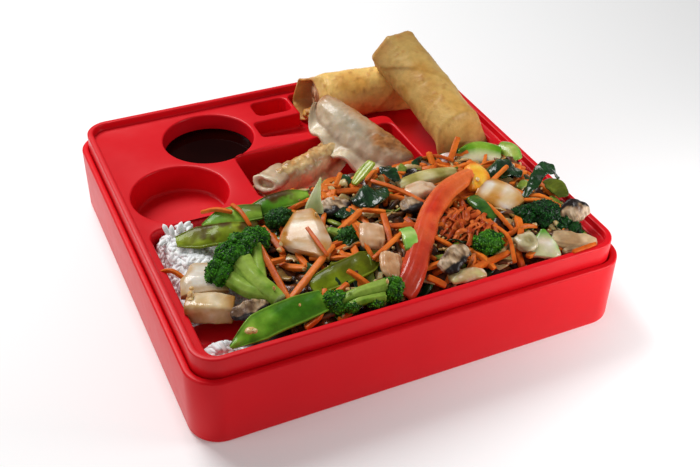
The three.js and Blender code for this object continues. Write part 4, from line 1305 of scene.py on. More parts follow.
def glazed_clump():
    """The clump of fine glazed shreds beside the red pepper."""
    random = np.random.default_rng(CLUMP["seed"])
    forms = []
    for k in range(CLUMP["count"]):
        x, y = random.uniform(*CLUMP["x"]), random.uniform(*CLUMP["y"])
        angle = math.radians(random.uniform(10, 90))
        reach = np.array([math.cos(angle), math.sin(angle)]) * random.uniform(10, 20) / 2
        top = CLUMP["top"] + random.uniform(-1.5, 1.8) - 0.012 * (x - 46) ** 2
        path = []
        for share, drop in CLUMP_DROOP:
            px, py = np.array([x, y]) + share * reach + random.uniform(-1.8, 1.8, 2)
            path.append((px, py, top - drop + random.uniform(-0.8, 0.8)))
        width, roll = random.uniform(1.4, 3.2), random.uniform(*STRIP_ROLL)
        form = swept(path, width, 1.1, rows=18, columns=10, cap=0.5, roll=roll)
        form.push(0.25 * form.noise(2.5, k))
        form.shade([(-0.5, CLUMP_TONES[0]), (0.6, CLUMP_TONES[1])], form.noise(4, k))
        forms.append(form)
    return one_piece("glazed_shreds", forms)


GARLIC_X = (-64, 108)
GARLIC_Y = (-106, -6)
GARLIC = (srgb(214, 160, 84), srgb(240, 214, 160))
GARLIC_SPOTS = [
    (-108, -68, 54, 2.4), (-108.5, -71, 53, 2.0), (-106, -64, 54.5, 1.6), (-70, -86, 59.5, 1.5),
    (-90, -105, 54.5, 2.6), (-88, -106, 54.3, 1.8), (-57, -60, 61, 1.8), (-55, -57, 62, 1.4),
    (-30, -45, 66, 1.2), (67, -50, 66, 1.3), (-62, -100, 57, 1.2), (84, -66, 62, 1.6),
    (-36, -100, 58.5, 1.4), (-16, -104, 60, 1.4),
]


def garlic_bits(settings):
    """Chopped garlic and browned crumbs: some on the pieces, the rest strewn over the heap."""
    random = np.random.default_rng(settings.seed + 9)
    spots = list(GARLIC_SPOTS)
    for _ in range(settings.garlic_bits):
        x, y = random.uniform(*GARLIC_X), random.uniform(*GARLIC_Y)
        spots.append((x, y, float(heap_height(x, y)) + random.uniform(-0.3, 1.6), random.uniform(0.5, 1.5)))
    forms = []
    for k, (x, y, z, size) in enumerate(spots):
        radii = size * random.uniform(0.5, 1.0, 3)
        form = lump((x, y, z), radii, rough=0.35, rows=9, columns=12, grain=1.0, seed=k)
        form.shade([(-0.6, GARLIC[0]), (0.6, GARLIC[1])], form.noise(1.0, k) + random.uniform(-0.5, 0.5))
        forms.append(form)
    return one_piece("garlic_bits", forms)


# ---------------------------------------------------------------- vegetables

POD_SHAPE = dict(rows=70, columns=52, cap=0.5, boxy=3.4)
SLAB_SHAPE = dict(rows=44, columns=44, ends=(0.6, 0.6), boxy=3.2, cap=1.0, sheet=True)
LEAF_SHAPE = dict(thick=1.1, rows=56, columns=40, ends=(0.6, 0.6), boxy=4, cap=0.7, sheet=True)
MUSHROOM_SHAPE = dict(rows=50, columns=48, boxy=3.4)
SLICE_SHAPE = dict(rows=44, columns=56, boxy=2.6)
STEM_SHAPE = dict(rows=34, columns=24, ends=(0.8, 1.15), boxy=2.3, cap=0.8)
STAIN = srgb(78, 44, 2)
MUSHROOM_FLESH = (srgb(110, 78, 54), srgb(182, 148, 110), srgb(222, 194, 164))
MUSHROOM_GILLS = srgb(92, 66, 48)
MUSHROOM_RIND = srgb(34, 24, 22)
BROCCOLI_STEM = (srgb(100, 142, 26), srgb(152, 180, 72))
BROCCOLI_CUT = srgb(208, 214, 160)
BUD_DENSITY = 1500000.0
BUD_SPACING = 0.87 * MM
# Painted shade: the share of colour left on a head's surface under its buds.
SHADE_UNDER_BUDS = 0.5
KNOBS = 11
KNOB_TURN = 2.4


def pod(tones, peas, seed, thick, stain=0.0, soak=(0.6, 0.5), **shape):
    """A snow pea pod with a seam along each edge, the peas showing through and a stain of sauce.

    soak is the centre and spread of the stain along it.
    """
    def lens(t, a, u, v):
        return u, v * (1 - 0.5 * np.abs(u) ** 3)

    form = swept(thick=0.6 * thick, section=lens, **POD_SHAPE, **shape)
    across = np.abs(form.u)
    bulge = hump(form.u, 0, 0.4) * np.maximum(0, np.sin(np.pi * (peas * form.t + 0.2))) ** 2
    seam = hump(across, 0.93, 0.05)
    form.push(0.7 * bulge + 0.45 * seam + 0.7 * form.noise(7, seed, 3) * (1 - across))
    # Painted highlight: the bulges over the peas are coloured lighter.
    form.shade([(-0.5, tones[0]), (0.1, tones[1]), (0.7, tones[2])], form.noise(14, seed, 3) + 0.3 * bulge)
    # Painted shade: darker towards both edges, where the pod curves away.
    form.paint(np.array(tones[1]) * 0.55, 0.6 * smooth_step(across, 0.55, 0.85))
    form.paint(tones[2], 0.6 * seam)
    soaked = smooth_step(form.noise(8, seed + 8, 3) - form.u, -0.35, 0.25) * hump(form.t, *soak, 4)
    form.paint(STAIN, stain * soaked)
    return form


def slab(tones, edge=None, near=None, far=None, front=None, arch=0.0, ribs=0.0, skew=0.0, seed=1, **shape):
    """A bent slice: tones run over it by noise, ribs are its lengthwise relief.

    edge is the colour of its rim, near and far those of its two ends and front that of one side.
    skew cuts its far end obliquely.
    """
    form = swept(**{**SLAB_SHAPE, **shape}, lift=lambda t, u: -arch * u * u)
    if ribs:
        form.push(ribs * np.cos(form.u * 9 + 0.6 * form.noise(14, seed)) * (np.abs(form.u) < 0.95))
    form.push(0.03 * shape["thick"] * form.noise(7, seed, 3))
    form.shade(evenly(tones), form.noise(9, seed + 1, 3))
    if edge is not None:
        sides, ends = smooth_step(np.abs(form.u), 0.35, 0.95), smooth_step(np.abs(form.t - 0.5), 0.26, 0.5)
        rim = np.maximum(sides, ends)
        form.paint(edge, rim * (0.7 + 0.6 * form.noise(7, seed + 3)))
    if near is not None:
        form.paint(near, 0.9 * smooth_step(-form.t, -0.5, -0.1))
        form.paint(far, 0.75 * smooth_step(form.t, 0.45, 0.85))
    if front is not None:
        form.paint(front, smooth_step(form.u + 0.3 * form.noise(8, seed), 0.0, 0.35))
    path = shape["path"]
    form.grid = form.grid - unit(np.subtract(path[-1], path[0])) * (skew * form.u * form.t**2)[..., None]
    return form


def rounded_slice(tones, edge=None, ribs=0.0, seed=1, **shape):
    """A thick slice with rounded edges; ribs are the fibres along it, edge the colour of its ends."""
    form = swept(**{**SLICE_SHAPE, **shape})
    if ribs:
        form.push(ribs * np.sin(form.u * 16 + 0.8 * form.noise(12, seed)))
    form.push(0.4 * form.noise(6, seed, 3))
    # Painted light and shade: lighter on its upper face, darker beneath.
    form.shade(evenly(tones), form.noise(7, seed + 1, 3) + 0.2 * form.v)
    if edge is not None:
        form.paint(edge, smooth_step(np.abs(form.t - 0.5), 0.22, 0.5) + 0.3 * form.noise(8, seed + 5))
    return form


def chunk(at, radii, tones, seed):
    """A rounded chunk of one vegetable."""
    form = lump(at, radii, rough=0.3, grain=1.1, rows=40, columns=56, seed=seed)
    form.shade([(-0.5, tones[0]), (0.5, tones[1])], form.noise(5, 3, 3))
    return form


def leaf(tones, seed=1, ripple=0.6, curl=0.0, **shape):
    """A thin wavy leaf with a pale midrib and side veins."""
    def wavy(t, u):
        slow, fast = np.sin(7 * t + 2.4 * u), np.sin(17 * t + seed)
        return ripple * slow + 0.5 * ripple * fast * np.abs(u) + curl * u * u

    form = swept(**{**LEAF_SHAPE, **shape}, lift=wavy)
    midrib = hump(form.u, 0, 0.07)
    veins = hump(np.sin(26 * form.t - 3.2 * np.abs(form.u)), 0, 0.22) * (1 - midrib)
    form.push(0.4 * midrib - 0.2 * veins + 0.55 * form.noise(3.5, seed, 3))
    form.shade([(-0.6, tones[0]), (0.6, tones[1])], form.noise(6, seed + 1, 3))
    form.paint(tones[2], 0.14 * veins + 0.45 * midrib)
    return form


def mushroom(thick, seed=1, rind=1, **shape):
    """A slice of mushroom: pale flesh on top, dark skin along one edge (its rind) and beneath."""
    form = swept(thick=0.62 * thick, **MUSHROOM_SHAPE, **shape)
    gills = np.sin(40 * form.t + 7 * form.noise(5, seed, 3))
    gills = gills * (form.v > 0) * smooth_step(-rind * form.u, -0.3, 0.4)
    form.push(1.0 * form.noise(5, seed, 3) + 0.1 * gills)
    form.shade(evenly(MUSHROOM_FLESH), form.noise(4, seed + 2, 3))
    form.paint(MUSHROOM_GILLS, 0.4 * smooth_step(gills, 0.2, 0.9))
    skin = smooth_step(-form.v, 0.0, 0.5) + smooth_step(rind * form.u + 0.45 * form.noise(5, seed), 0.4, 0.65)
    form.paint(MUSHROOM_RIND, skin)
    return form


def head_lumps(at, radii, random):
    """The lumps of a head as (place, radii, rows, columns): its middle and the knobs round it."""
    lumps = [(at, radii * 0.9, 40, 56)]
    for turn in range(KNOBS):
        rise, angle = random.uniform(-0.1, 1.2), turn * KNOB_TURN
        level = math.cos(rise)
        out = np.array([level * math.cos(angle), level * math.sin(angle), math.sin(rise)])
        lumps.append((at + out * radii * 0.66, radii * random.uniform(0.36, 0.46), 16, 20))
    return lumps


def floret(name, material, seed, heads, stems, dark, light):
    """Broccoli: branched stems under heads that are covered with buds."""
    forms, budded = [], []
    random = np.random.default_rng(seed)
    for k, (at, radii) in enumerate(heads):
        radii = np.array(radii)
        for n, (place, size, rows, columns) in enumerate(head_lumps(at, radii, random)):
            form = lump(place, size, rough=0.16, rows=rows, columns=columns, grain=0.7, seed=seed + k + n)
            form.push(0.35 * form.noise(2.4, seed + 4, 2))
            form.shade([(-0.5, dark), (0.6, light)], form.noise(3, seed + k))
            # Painted shade: the head's surface under its buds is darkened by half.
            form.tint *= SHADE_UNDER_BUDS
            forms.append(form)
            budded.append(form.points()[:, 2] > at[2] - 0.6 * radii[2])
    for k, stem in enumerate(stems):
        form = swept(**{**STEM_SHAPE, **stem})
        ridges = np.cos(7 * np.arctan2(form.v, form.u)) * (0.4 + 0.6 * form.t)
        form.push(0.3 * ridges + 0.2 * form.noise(4, seed + k))
        # Painted light and shade: the stem is lighter on its upper side.
        stops = [(-0.6, BROCCOLI_STEM[0]), (0.6, BROCCOLI_STEM[1])]
        form.shade(stops, form.noise(6, seed + k) + 0.5 * form.v)
        form.paint(BROCCOLI_CUT, 0.8 * smooth_step(-form.t, -0.05, 0.0))
        forms.append(form)
        budded.append(np.zeros(form.t.size, bool))
    piece = one_piece(name, forms)
    bud = small_thing("bud", 1.0, 1.8, 4, 5, ends=(0.7, 0.7))
    return strew(
        piece, bud, material, np.concatenate(budded), Density=BUD_DENSITY, Spacing=BUD_SPACING, Seed=seed,
        Tilt=1.2, Sink=0.3 * MM, Small=0.7, Large=1.3, Dark=dark, Light=light,
    )


# ---------------------------------------------------------------- the separate pieces

POD_BRIGHT = (srgb(62, 118, 14), srgb(98, 154, 30), srgb(146, 188, 62))
POD_OLIVE = (srgb(92, 108, 8), srgb(126, 144, 14), srgb(156, 174, 40))
PODS = {
    "snow_pea_front": dict(
        path=[(-101, -108, 50), (-82, -101.5, 52), (-64, -99, 53), (-48, -98, 53.5)], width=15, thick=4.5,
        roll=-25, ends=(0.12, 0.8), tones=POD_BRIGHT, peas=5, seed=1,
    ),
    "snow_pea_middle": dict(
        path=[(-50, -86, 53), (-33, -85, 56), (-19, -84, 58), (-8, -79, 58)], width=14, thick=4, roll=-20,
        ends=(0.7, 0.1), tones=POD_OLIVE, peas=4, seed=2, stain=0.35,
    ),
    "snow_pea_left": dict(
        path=[(-102, -23, 53.5), (-82, -27, 55), (-58, -32, 55)], width=14, thick=4, roll=-18,
        ends=(0.45, 0.7), tones=POD_OLIVE, peas=4, seed=3, stain=0.9, soak=(0.65, 0.5),
    ),
    "snow_pea_back": dict(
        path=[(-85, -16, 54), (-68, -17, 57), (-52, -21, 58)], width=12, thick=4, roll=-18,
        ends=(0.2, 0.8), tones=POD_BRIGHT, peas=3, seed=4, stain=0.6, soak=(0.95, 0.3),
    ),
    "snow_pea_olive": dict(
        path=[(-57, -17, 56), (-40, -16, 58.5), (-23, -18, 59.5)], width=11, thick=4, roll=-22,
        ends=(0.75, 0.4), tones=POD_BRIGHT, peas=3, seed=5, stain=0.95, soak=(0.5, 0.3),
    ),
}

WHITE = (srgb(196, 162, 116), srgb(220, 200, 172), srgb(238, 230, 220))
PEACH = (srgb(186, 130, 84), srgb(212, 164, 122), srgb(230, 194, 162))
LIME = (srgb(108, 140, 24), srgb(152, 176, 56), srgb(196, 204, 116))
GREEN = (srgb(66, 118, 6), srgb(96, 152, 16), srgb(134, 176, 50))
AMBER_EDGE = srgb(190, 122, 36)
SLABS = {
    "bok_choy_centre": dict(
        path=[(-33, -35, 62), (-39, -50, 61), (-43, -65, 57)], width=28, thick=5, arch=1.6, roll=-12,
        skew=7, outline=[(0, 0.42), (0.12, 0.56), (0.5, 0.86), (0.72, 1.0), (0.86, 0.9), (1, 0.72)],
        boxy=6, cap=0.6, tones=(srgb(206, 158, 92), srgb(230, 212, 184), srgb(242, 234, 220)),
        edge=AMBER_EDGE, ribs=0.25, seed=1,
    ),
    "bok_choy_left": dict(
        path=[(-100, -66, 50), (-98, -57, 53), (-94, -46, 52)], width=26, thick=5, arch=1.6,
        outline=[(0, 0.95), (0.55, 0.9), (0.6, 0.72), (1, 0.6)], boxy=6, cap=0.5,
        tones=(WHITE[0], WHITE[2], WHITE[1]), edge=srgb(190, 146, 84), ribs=0.12, seed=2,
    ),
    "leek_point": dict(
        path=[(-27, -35, 59), (-25, -32, 66), (-19, -26, 75)], width=11, thick=1.6, cap=0.5,
        outline=[(0, 1), (0.3, 0.86), (0.7, 0.4), (1, 0.04)],
        tones=(srgb(176, 196, 130), srgb(206, 214, 164), srgb(222, 222, 190)), ribs=0.1, seed=3,
    ),
    "onion_glazed": dict(
        path=[(67, -52, 61), (75, -62, 61), (80, -74, 58)], width=19, thick=5, arch=1.2, roll=-15,
        outline=[(0, 0.7), (0.25, 1), (0.8, 0.95), (1, 0.6)], boxy=6, cap=0.6,
        tones=(srgb(206, 144, 62), srgb(226, 196, 148), WHITE[2]), edge=srgb(196, 126, 40), seed=14,
    ),
    "celery_back": dict(
        path=[(27, -30, 60), (46, -29, 61), (65, -30, 60)], width=13, thick=4, arch=3, ends=(0.7, 0.7),
        tones=(srgb(168, 156, 80), srgb(200, 188, 120), srgb(222, 212, 160)), ribs=0.35, seed=5,
    ),
    "bok_choy_front": dict(
        path=[(82, -96, 58), (79, -103, 55), (74.5, -110, 51)], width=19, thick=3, arch=2, cap=0.6,
        outline=[(0, 0.12), (0.35, 0.6), (0.8, 1.0), (1, 0.85)], boxy=5, ribs=0.2, seed=6,
        tones=(LIME[2], WHITE[1], WHITE[2]), edge=srgb(110, 176, 30), near=srgb(78, 150, 6),
        far=srgb(206, 196, 160),
    ),
    "bok_choy_tip": dict(
        path=[(3.5, -20.5, 60.5), (11, -16.5, 64.5), (19, -12.5, 67.5)], width=7, thick=2,
        ends=(0.5, 0.8), tones=(srgb(92, 122, 10), srgb(130, 152, 24), srgb(176, 186, 70)), ribs=0.15,
        seed=7,
    ),
    "bok_choy_right": dict(
        path=[(76, -14, 58), (88, -18, 59.5), (98.5, -25, 58.5)], width=17, thick=3, arch=0.8, roll=-20,
        ends=(0.5, 0.8), tones=GREEN, ribs=0.2, seed=8, boxy=5, front=srgb(214, 206, 168),
    ),
    "bok_choy_curl": dict(
        path=[(102, -15, 58), (105, -22, 59), (105, -31, 57)], width=13, thick=2.4, arch=2, roll=-30,
        ends=(0.9, 0.7), tones=LIME, edge=srgb(120, 170, 60), ribs=0.15, seed=9,
    ),
}
ROUNDS = {
    "bok_choy_fold": dict(
        path=[(-111, -69, 47), (-101, -74.5, 48), (-89, -80, 47)], width=14, thick=12, ends=(0.95, 0.85),
        tones=(srgb(206, 168, 112), srgb(222, 192, 146), srgb(234, 216, 184)), boxy=4.5, cap=0.8,
        edge=srgb(176, 122, 58),
    ),
    "onion_edge": dict(
        path=[(20, -106, 50), (30, -107, 51.5), (40, -108, 50)], width=9, thick=4.5,
        tones=(srgb(200, 190, 130), WHITE[0], WHITE[1]),
    ),
    "chestnut_upper": dict(
        path=[(-11, -77, 59), (-8, -69, 62), (-5, -61, 63)], width=14, thick=4.4, ends=(0.75, 0.9),
        tones=PEACH, ribs=0.2, boxy=3.4, cap=1.8, roll=-14,
    ),
    "chestnut_lower": dict(
        path=[(-10, -99, 56), (-7, -91, 58), (-4, -84, 60)], width=13, thick=4.4, ends=(0.65, 0.85),
        tones=PEACH, ribs=0.2, boxy=3.0, cap=2.0, roll=-24,
    ),
    "celery_cut": dict(
        path=[(11, -70, 61), (10, -78, 61.5), (8, -86, 59)], width=8, thick=4, ends=(1.0, 0.95), boxy=5,
        tones=(srgb(110, 170, 60), srgb(146, 194, 84), srgb(186, 212, 126)),
    ),
    "pepper_green": dict(
        path=[(60, -57, 60), (60, -67, 60), (64, -78, 57)], width=9, thick=5, ends=(0.9, 0.6),
        tones=(srgb(20, 52, 18), srgb(34, 78, 22), srgb(66, 110, 32)),
    ),
    "bamboo_shoot": dict(
        path=[(87, -97, 51.5), (98, -105, 50.5), (109, -110.5, 49.5)], width=12.5, thick=6, roll=-20,
        ends=(0.8, 0.55), tones=(srgb(176, 140, 100), srgb(208, 176, 136), srgb(224, 198, 162)),
        ribs=0.14,
    ),
    "bamboo_tip": dict(
        path=[(88, -109, 49.5), (99, -111, 49.5)], width=5,
        tones=(srgb(140, 112, 80), srgb(176, 146, 108), srgb(198, 172, 134)), ribs=0.2,
    ),
}
LUMPS = {
    "onion_clear": dict(
        at=(71, -97.5, 54), radii=(7.5, 7.5, 4.2), tones=(srgb(158, 144, 100), srgb(204, 192, 156)),
        seed=11,
    ),
    "onion_bit": dict(
        at=(67, -14, 57), radii=(5, 4.5, 4), tones=(srgb(204, 176, 170), srgb(232, 218, 216)), seed=9,
    ),
    "chestnut_round": dict(
        at=(35, -43, 61), radii=(10, 8, 5.5), tones=(PEACH[1], srgb(228, 198, 168)), seed=14,
    ),
}
LEAF_DARK = (srgb(12, 38, 18), srgb(30, 72, 30), srgb(78, 128, 56))
LEAVES = {
    "leaf_tall": dict(
        path=[(88, -67, 58), (96, -63.5, 64.5), (102.5, -62.5, 71.5), (107.5, -63.5, 70), (111, -66, 65)],
        width=13, outline=[(0, 0.3), (0.3, 0.55), (0.62, 1.0), (0.8, 0.8), (1, 0.12)],
        tones=(LEAF_DARK[0], LEAF_DARK[1], srgb(96, 160, 96)), seed=1,
    ),
    "leaf_right": dict(
        path=[(80, -38, 61), (89, -42, 64), (99, -47, 61)], width=18, ripple=1.0, ends=(0.5, 0.6),
        tones=LEAF_DARK, seed=2, curl=-1.2,
    ),
    "leaf_centre": dict(
        path=[(-4, -34, 61), (6, -36, 63.5), (17, -34, 63)], width=18, ripple=1.0, ends=(0.5, 0.5),
        tones=LEAF_DARK, seed=3, curl=-1.0,
    ),
    "leaf_small": dict(
        path=[(-17, -41, 59.5), (-12, -42, 60), (-6, -43, 59.5)], width=9, tones=LEAF_DARK, seed=4,
    ),
    "leaf_back": dict(
        path=[(24, -15, 64), (25, -22, 65), (27, -30, 62.5)], width=9, ends=(0.5, 0.6), tones=LEAF_DARK,
        seed=5,
    ),
    "leaf_olive": dict(
        path=[(109, -57, 59), (112, -64, 58), (112.5, -72, 55)], width=12, ripple=0.5,
        tones=(srgb(74, 84, 20), srgb(110, 122, 34), srgb(150, 156, 80)), seed=6,
    ),
}
MUSHROOMS = {
    "mushroom_right": dict(
        path=[(97.5, -88.5, 59), (106, -90, 59.5), (116, -91, 58.5)], width=14, thick=7, roll=-48,
        outline=[(0, 0.35), (0.3, 0.8), (0.6, 1.0), (0.85, 0.6), (1, 0.3)], rind=-1,
    ),
    "mushroom_front": dict(
        path=[(17, -101, 54), (26, -98, 57), (36, -95, 58)], width=12, thick=7, roll=-30,
        outline=[(0, 0.6), (0.3, 1.0), (0.75, 0.85), (1, 0.5)], seed=2,
    ),
    "mushroom_left": dict(
        path=[(-93, -86, 49), (-83, -88, 52), (-73, -87, 52)], width=11, thick=6, roll=-25,
        outline=[(0, 0.5), (0.4, 1.0), (0.8, 0.6), (1, 0.3)], seed=3,
    ),
    "mushroom_back": dict(
        path=[(-23, -33, 58), (-14, -33, 58.5), (-5, -33, 58)], width=14, thick=9, ends=(0.5, 0.5),
    ),
    "mushroom_centre": dict(
        path=[(18, -52, 60.5), (26, -52, 61), (34, -52, 60.5)], width=12, thick=8, ends=(0.5, 0.5),
    ),
}
PEPPERS = {
    "pepper_red": dict(
        path=[
            (-9, -107, 51), (1, -100, 57), (19, -78.5, 61.5), (33, -62, 64), (46, -52, 66.5),
            (58, -46.5, 67), (67, -43, 66.5),
        ],
        width=14, thick=3.6, arch=3.2, roll=-18,
        outline=[(0, 1.0), (0.2, 0.97), (0.45, 0.9), (0.8, 0.84), (1, 0.6)],
        tones=(srgb(212, 50, 24), srgb(226, 74, 36), srgb(238, 102, 54)), edge=srgb(238, 112, 56),
        rows=90, boxy=2.6, ribs=0.3, near=srgb(190, 52, 34), far=srgb(240, 124, 62), seed=1,
    ),
    "pepper_yellow": dict(
        path=[(72, -36, 66), (70, -45, 65), (65, -54, 61)], width=15, thick=3.4, arch=2, ends=(0.7, 0.6),
        tones=(srgb(246, 164, 36), srgb(252, 194, 64), srgb(255, 218, 120)), edge=srgb(242, 136, 26),
        boxy=2.8, seed=2,
    ),
}
OTHER_SLOTS = {
    "bok_choy_front": "green_stem", "bok_choy_tip": "green_stem", "bok_choy_right": "green_stem",
    "bok_choy_curl": "green_stem", "celery_cut": "green_stem", "pepper_green": "dark_leaf",
    "bamboo_shoot": "bamboo", "bamboo_tip": "bamboo", "leaf_olive": "green_pod",
    "pepper_yellow": "yellow_pepper",
}
BROCCOLI = {
    "broccoli_left": dict(
        heads=[
            ((-64, -42, 57), (8, 8, 7)), ((-73, -47, 58.5), (9, 8, 8)), ((-81, -53, 58), (10, 9, 8.5)),
            ((-89, -59, 54.5), (8.5, 8, 8)),
        ],
        stems=[
            dict(path=[(-68, -90, 53), (-74, -75, 55.5), (-77, -58, 57)], width=9.5, ends=(0.8, 1.3)),
            dict(path=[(-71, -85, 53), (-81, -74, 53.5), (-87, -60, 54)], width=8, ends=(0.7, 1.3)),
            dict(path=[(-73, -78, 55), (-70, -64, 56.5), (-66, -48, 57)], width=6, ends=(0.8, 1.4)),
            dict(path=[(-77, -72, 55), (-80, -64, 56), (-83, -57, 57)], width=6, ends=(0.6, 1.3)),
        ],
        dark=srgb(8, 62, 10), light=srgb(78, 158, 22),
    ),
    "broccoli_front": dict(
        heads=[
            ((-43, -99, 49), (8, 7, 8)), ((-12, -103, 52), (7, 6, 7)), ((-36, -106, 51), (4.5, 2.8, 3.5)),
            ((-24, -108, 51), (4, 2.2, 3)),
        ],
        stems=[
            dict(
                path=[(-41, -101, 51), (-30, -101, 54.5), (-15, -102, 55.5)], width=6.5, ends=(0.9, 1.2),
            ),
            dict(path=[(-38, -105, 52), (-29, -106, 53.5), (-18, -107, 53)], width=4.5, ends=(0.8, 1.1)),
            dict(path=[(-34, -100, 53), (-38, -100, 52), (-43, -100, 51)], width=5, ends=(0.9, 1.3)),
        ],
        dark=srgb(12, 66, 14), light=srgb(88, 164, 24),
    ),
    "broccoli_right": dict(
        heads=[
            ((82, -79, 55), (9, 8, 7)), ((91, -83, 56), (9.5, 9, 8)), ((98, -88, 52.5), (8, 8, 7)),
            ((103, -94, 50), (6, 6, 6)),
        ],
        stems=[dict(path=[(73, -92, 50), (80, -86, 52), (87, -83, 53)], width=7)], dark=srgb(2, 34, 12),
        light=srgb(26, 90, 24),
    ),
    "broccoli_small": dict(
        heads=[((50, -92, 55.5), (9, 7.5, 6))], stems=[], dark=srgb(16, 78, 12), light=srgb(86, 158, 24),
    ),
    "broccoli_back": dict(
        heads=[((-45, -29, 56), (8, 7, 6))], stems=[dict(path=[(-40, -20, 54), (-45, -29, 54)], width=5)],
        dark=srgb(20, 66, 26), light=srgb(60, 118, 38),
    ),
    "broccoli_middle": dict(
        heads=[((-18, -61, 57), (7, 7, 6))], stems=[dict(path=[(-27, -52, 58), (-20, -58, 58)], width=6)],
        dark=srgb(18, 62, 24), light=srgb(66, 128, 40),
    ),
}


# ---------------------------------------------------------------- the food's operators


class BENTO_OT_spring_rolls(bpy.types.Operator):
    """Builds the two fried spring rolls"""

    bl_idname = "bento.spring_rolls"
    bl_label = "Spring rolls"

    def execute(self, context):
        crust = cooked(
            "fried_wrapper_crust", 0.42, 0.12, 0.15, 2.0, (260, 0.84), (900, 0.35, 0.5), coat_rough=0.3,
        )
        for node, values in ROLLS.items():
            forms = [spring_roll(**values)]
            if values["open_end"]:
                forms += [roll_flap("filled", 5), roll_flap("loop", 6)]
            finish_piece(one_piece(node + "_fried", forms), crust, "fried_wrapper", node)
        return {"FINISHED"}


class BENTO_OT_dumplings(bpy.types.Operator):
    """Builds the two pan-fried dumplings"""

    bl_idname = "bento.dumplings"
    bl_label = "Dumplings"

    def execute(self, context):
        dough = cooked(
            "dumpling_dough_skin", 0.3, 0.35, 0.15, 2.0, (300, 0.85), (1100, 0.25, 0.35), coat_rough=0.18,
        )
        for node, values in DUMPLINGS.items():
            forms = [dumpling(**values)]
            if node == "dumpling_low":
                forms.append(dumpling_ring())
            finish_piece(one_piece(node + "_fried", forms), dough, "dumpling_dough", node)
        return {"FINISHED"}


class BENTO_OT_rice(bpy.types.Operator):
    """Fills the left of the main pocket with rice, grain by grain"""

    bl_idname = "bento.rice"
    bl_label = "Rice"

    def execute(self, context):
        grains = cooked("steamed_rice", 0.45, 0.0, 0.0, 1.0, (500, 0.98), (1500, 0.05, 0.1))
        finish_piece(make_rice(context.scene.bento_food.seed, grains), grains, "rice", "rice")
        return {"FINISHED"}


STRIP_LOOKS = {
    "cabbage_strips": ("pale_vegetable", "pale_strips", 0.25, 0.5, 0.4, 3.0, (380, 0.8), (1300, 0.2, 0.3)),
    "stem_strips": ("green_stem", "stem_shreds", 0.25, 0.4, 0.2, 2.0, (380, 0.8), (1300, 0.2, 0.3)),
    "leaf_strips": ("dark_leaf", "leaf_shreds", 0.25, 0.5, 0.1, 1.0, (420, 0.6), (1300, 0.3, 0.3)),
    "mushroom_slivers": ("mushroom", "mushroom_strips", 0.4, 0.3, 0.1, 1.0, (420, 0.6), (1300, 0.4, 0.3)),
}


class BENTO_OT_stir_fry(bpy.types.Operator):
    """Builds the heap of stir-fried vegetables under the larger pieces"""

    bl_idname = "bento.stir_fry"
    bl_label = "Stir-fry heap"

    def execute(self, context):
        settings = context.scene.bento_food
        heart = cooked(
            "sauced_vegetables", 0.25, 0.45, 0.0, 1.0, (420, 0.5), (1200, 0.4, 0.5), coat_rough=0.08,
        )
        root = cooked(
            "carrot_flesh", 0.4, 0.12, 0.2, 1.8, (420, 0.8), (1600, 0.25, 0.25), coat_rough=0.15, shine=0.1,
        )
        finish_piece(heap_core(), heart, "carrot", "stir_fry")
        for piece in (carrots(settings.seed, settings.carrot_sticks), glazed_clump()):
            finish_piece(piece, root, "carrot", "stir_fry")
        for name, (slot, *finish) in STRIP_LOOKS.items():
            finish_piece(strips(name, settings.seed, **STRIPS[name]), cooked(*finish), slot, "stir_fry")
        return {"FINISHED"}


def vegetable_looks():
    """The finish of each slot that the separate vegetables use."""
    return {
        "green_pod": cooked(
            "pod_skin", 0.4, 0.3, 0.12, 1.5, (330, 0.82), (700, 0.3, 0.4), coat_rough=0.04, shine=0.12,
        ),
        "pale_vegetable": cooked(
            "pale_flesh", 0.24, 0.45, 0.45, 4.0, (240, 0.9), (900, 0.15, 0.3), glow=(1.0, 0.75, 0.5),
        ),
        "green_stem": cooked(
            "green_stem_skin", 0.24, 0.45, 0.3, 2.5, (300, 0.88), (1000, 0.18, 0.3), glow=(0.8, 1.0, 0.3),
        ),
        "dark_leaf": cooked(
            "dark_leaf_skin", 0.2, 0.55, 0.1, 1.0, (420, 0.7), (1500, 0.35, 0.3), coat_rough=0.1,
        ),
        "mushroom": cooked("mushroom_flesh", 0.42, 0.2, 0.1, 1.0, (420, 0.75), (1300, 0.5, 0.4)),
        "red_pepper": cooked(
            "red_pepper_skin", 0.26, 0.5, 0.25, 2.0, (160, 0.86), (400, 0.16, 0.4), coat_rough=0.03,
            shine=0.2,
        ),
        "yellow_pepper": cooked(
            "yellow_pepper_skin", 0.25, 0.4, 0.5, 4.0, (160, 0.92), (500, 0.08, 0.3), coat_rough=0.05,
        ),
        "bamboo": cooked("bamboo_flesh", 0.4, 0.2, 0.3, 2.0, (300, 0.82), (1200, 0.3, 0.3)),
    }


class BENTO_OT_vegetables(bpy.types.Operator):
    """Lays the separate vegetable pieces over the heap and the rice"""

    bl_idname = "bento.vegetables"
    bl_label = "Vegetable pieces"

    def execute(self, context):
        looks = vegetable_looks()
        for table, maker, usual in (
            (PODS, pod, "green_pod"),
            (SLABS, slab, "pale_vegetable"),
            (ROUNDS, rounded_slice, "pale_vegetable"),
            (LEAVES, leaf, "dark_leaf"),
            (MUSHROOMS, mushroom, "mushroom"),
            (PEPPERS, slab, "red_pepper"),
            (LUMPS, chunk, "pale_vegetable"),
        ):
            for node, values in table.items():
                slot = OTHER_SLOTS.get(node, usual)
                finish_piece(one_piece(node + "_cooked", [maker(**values)]), looks[slot], slot, node)
        return {"FINISHED"}


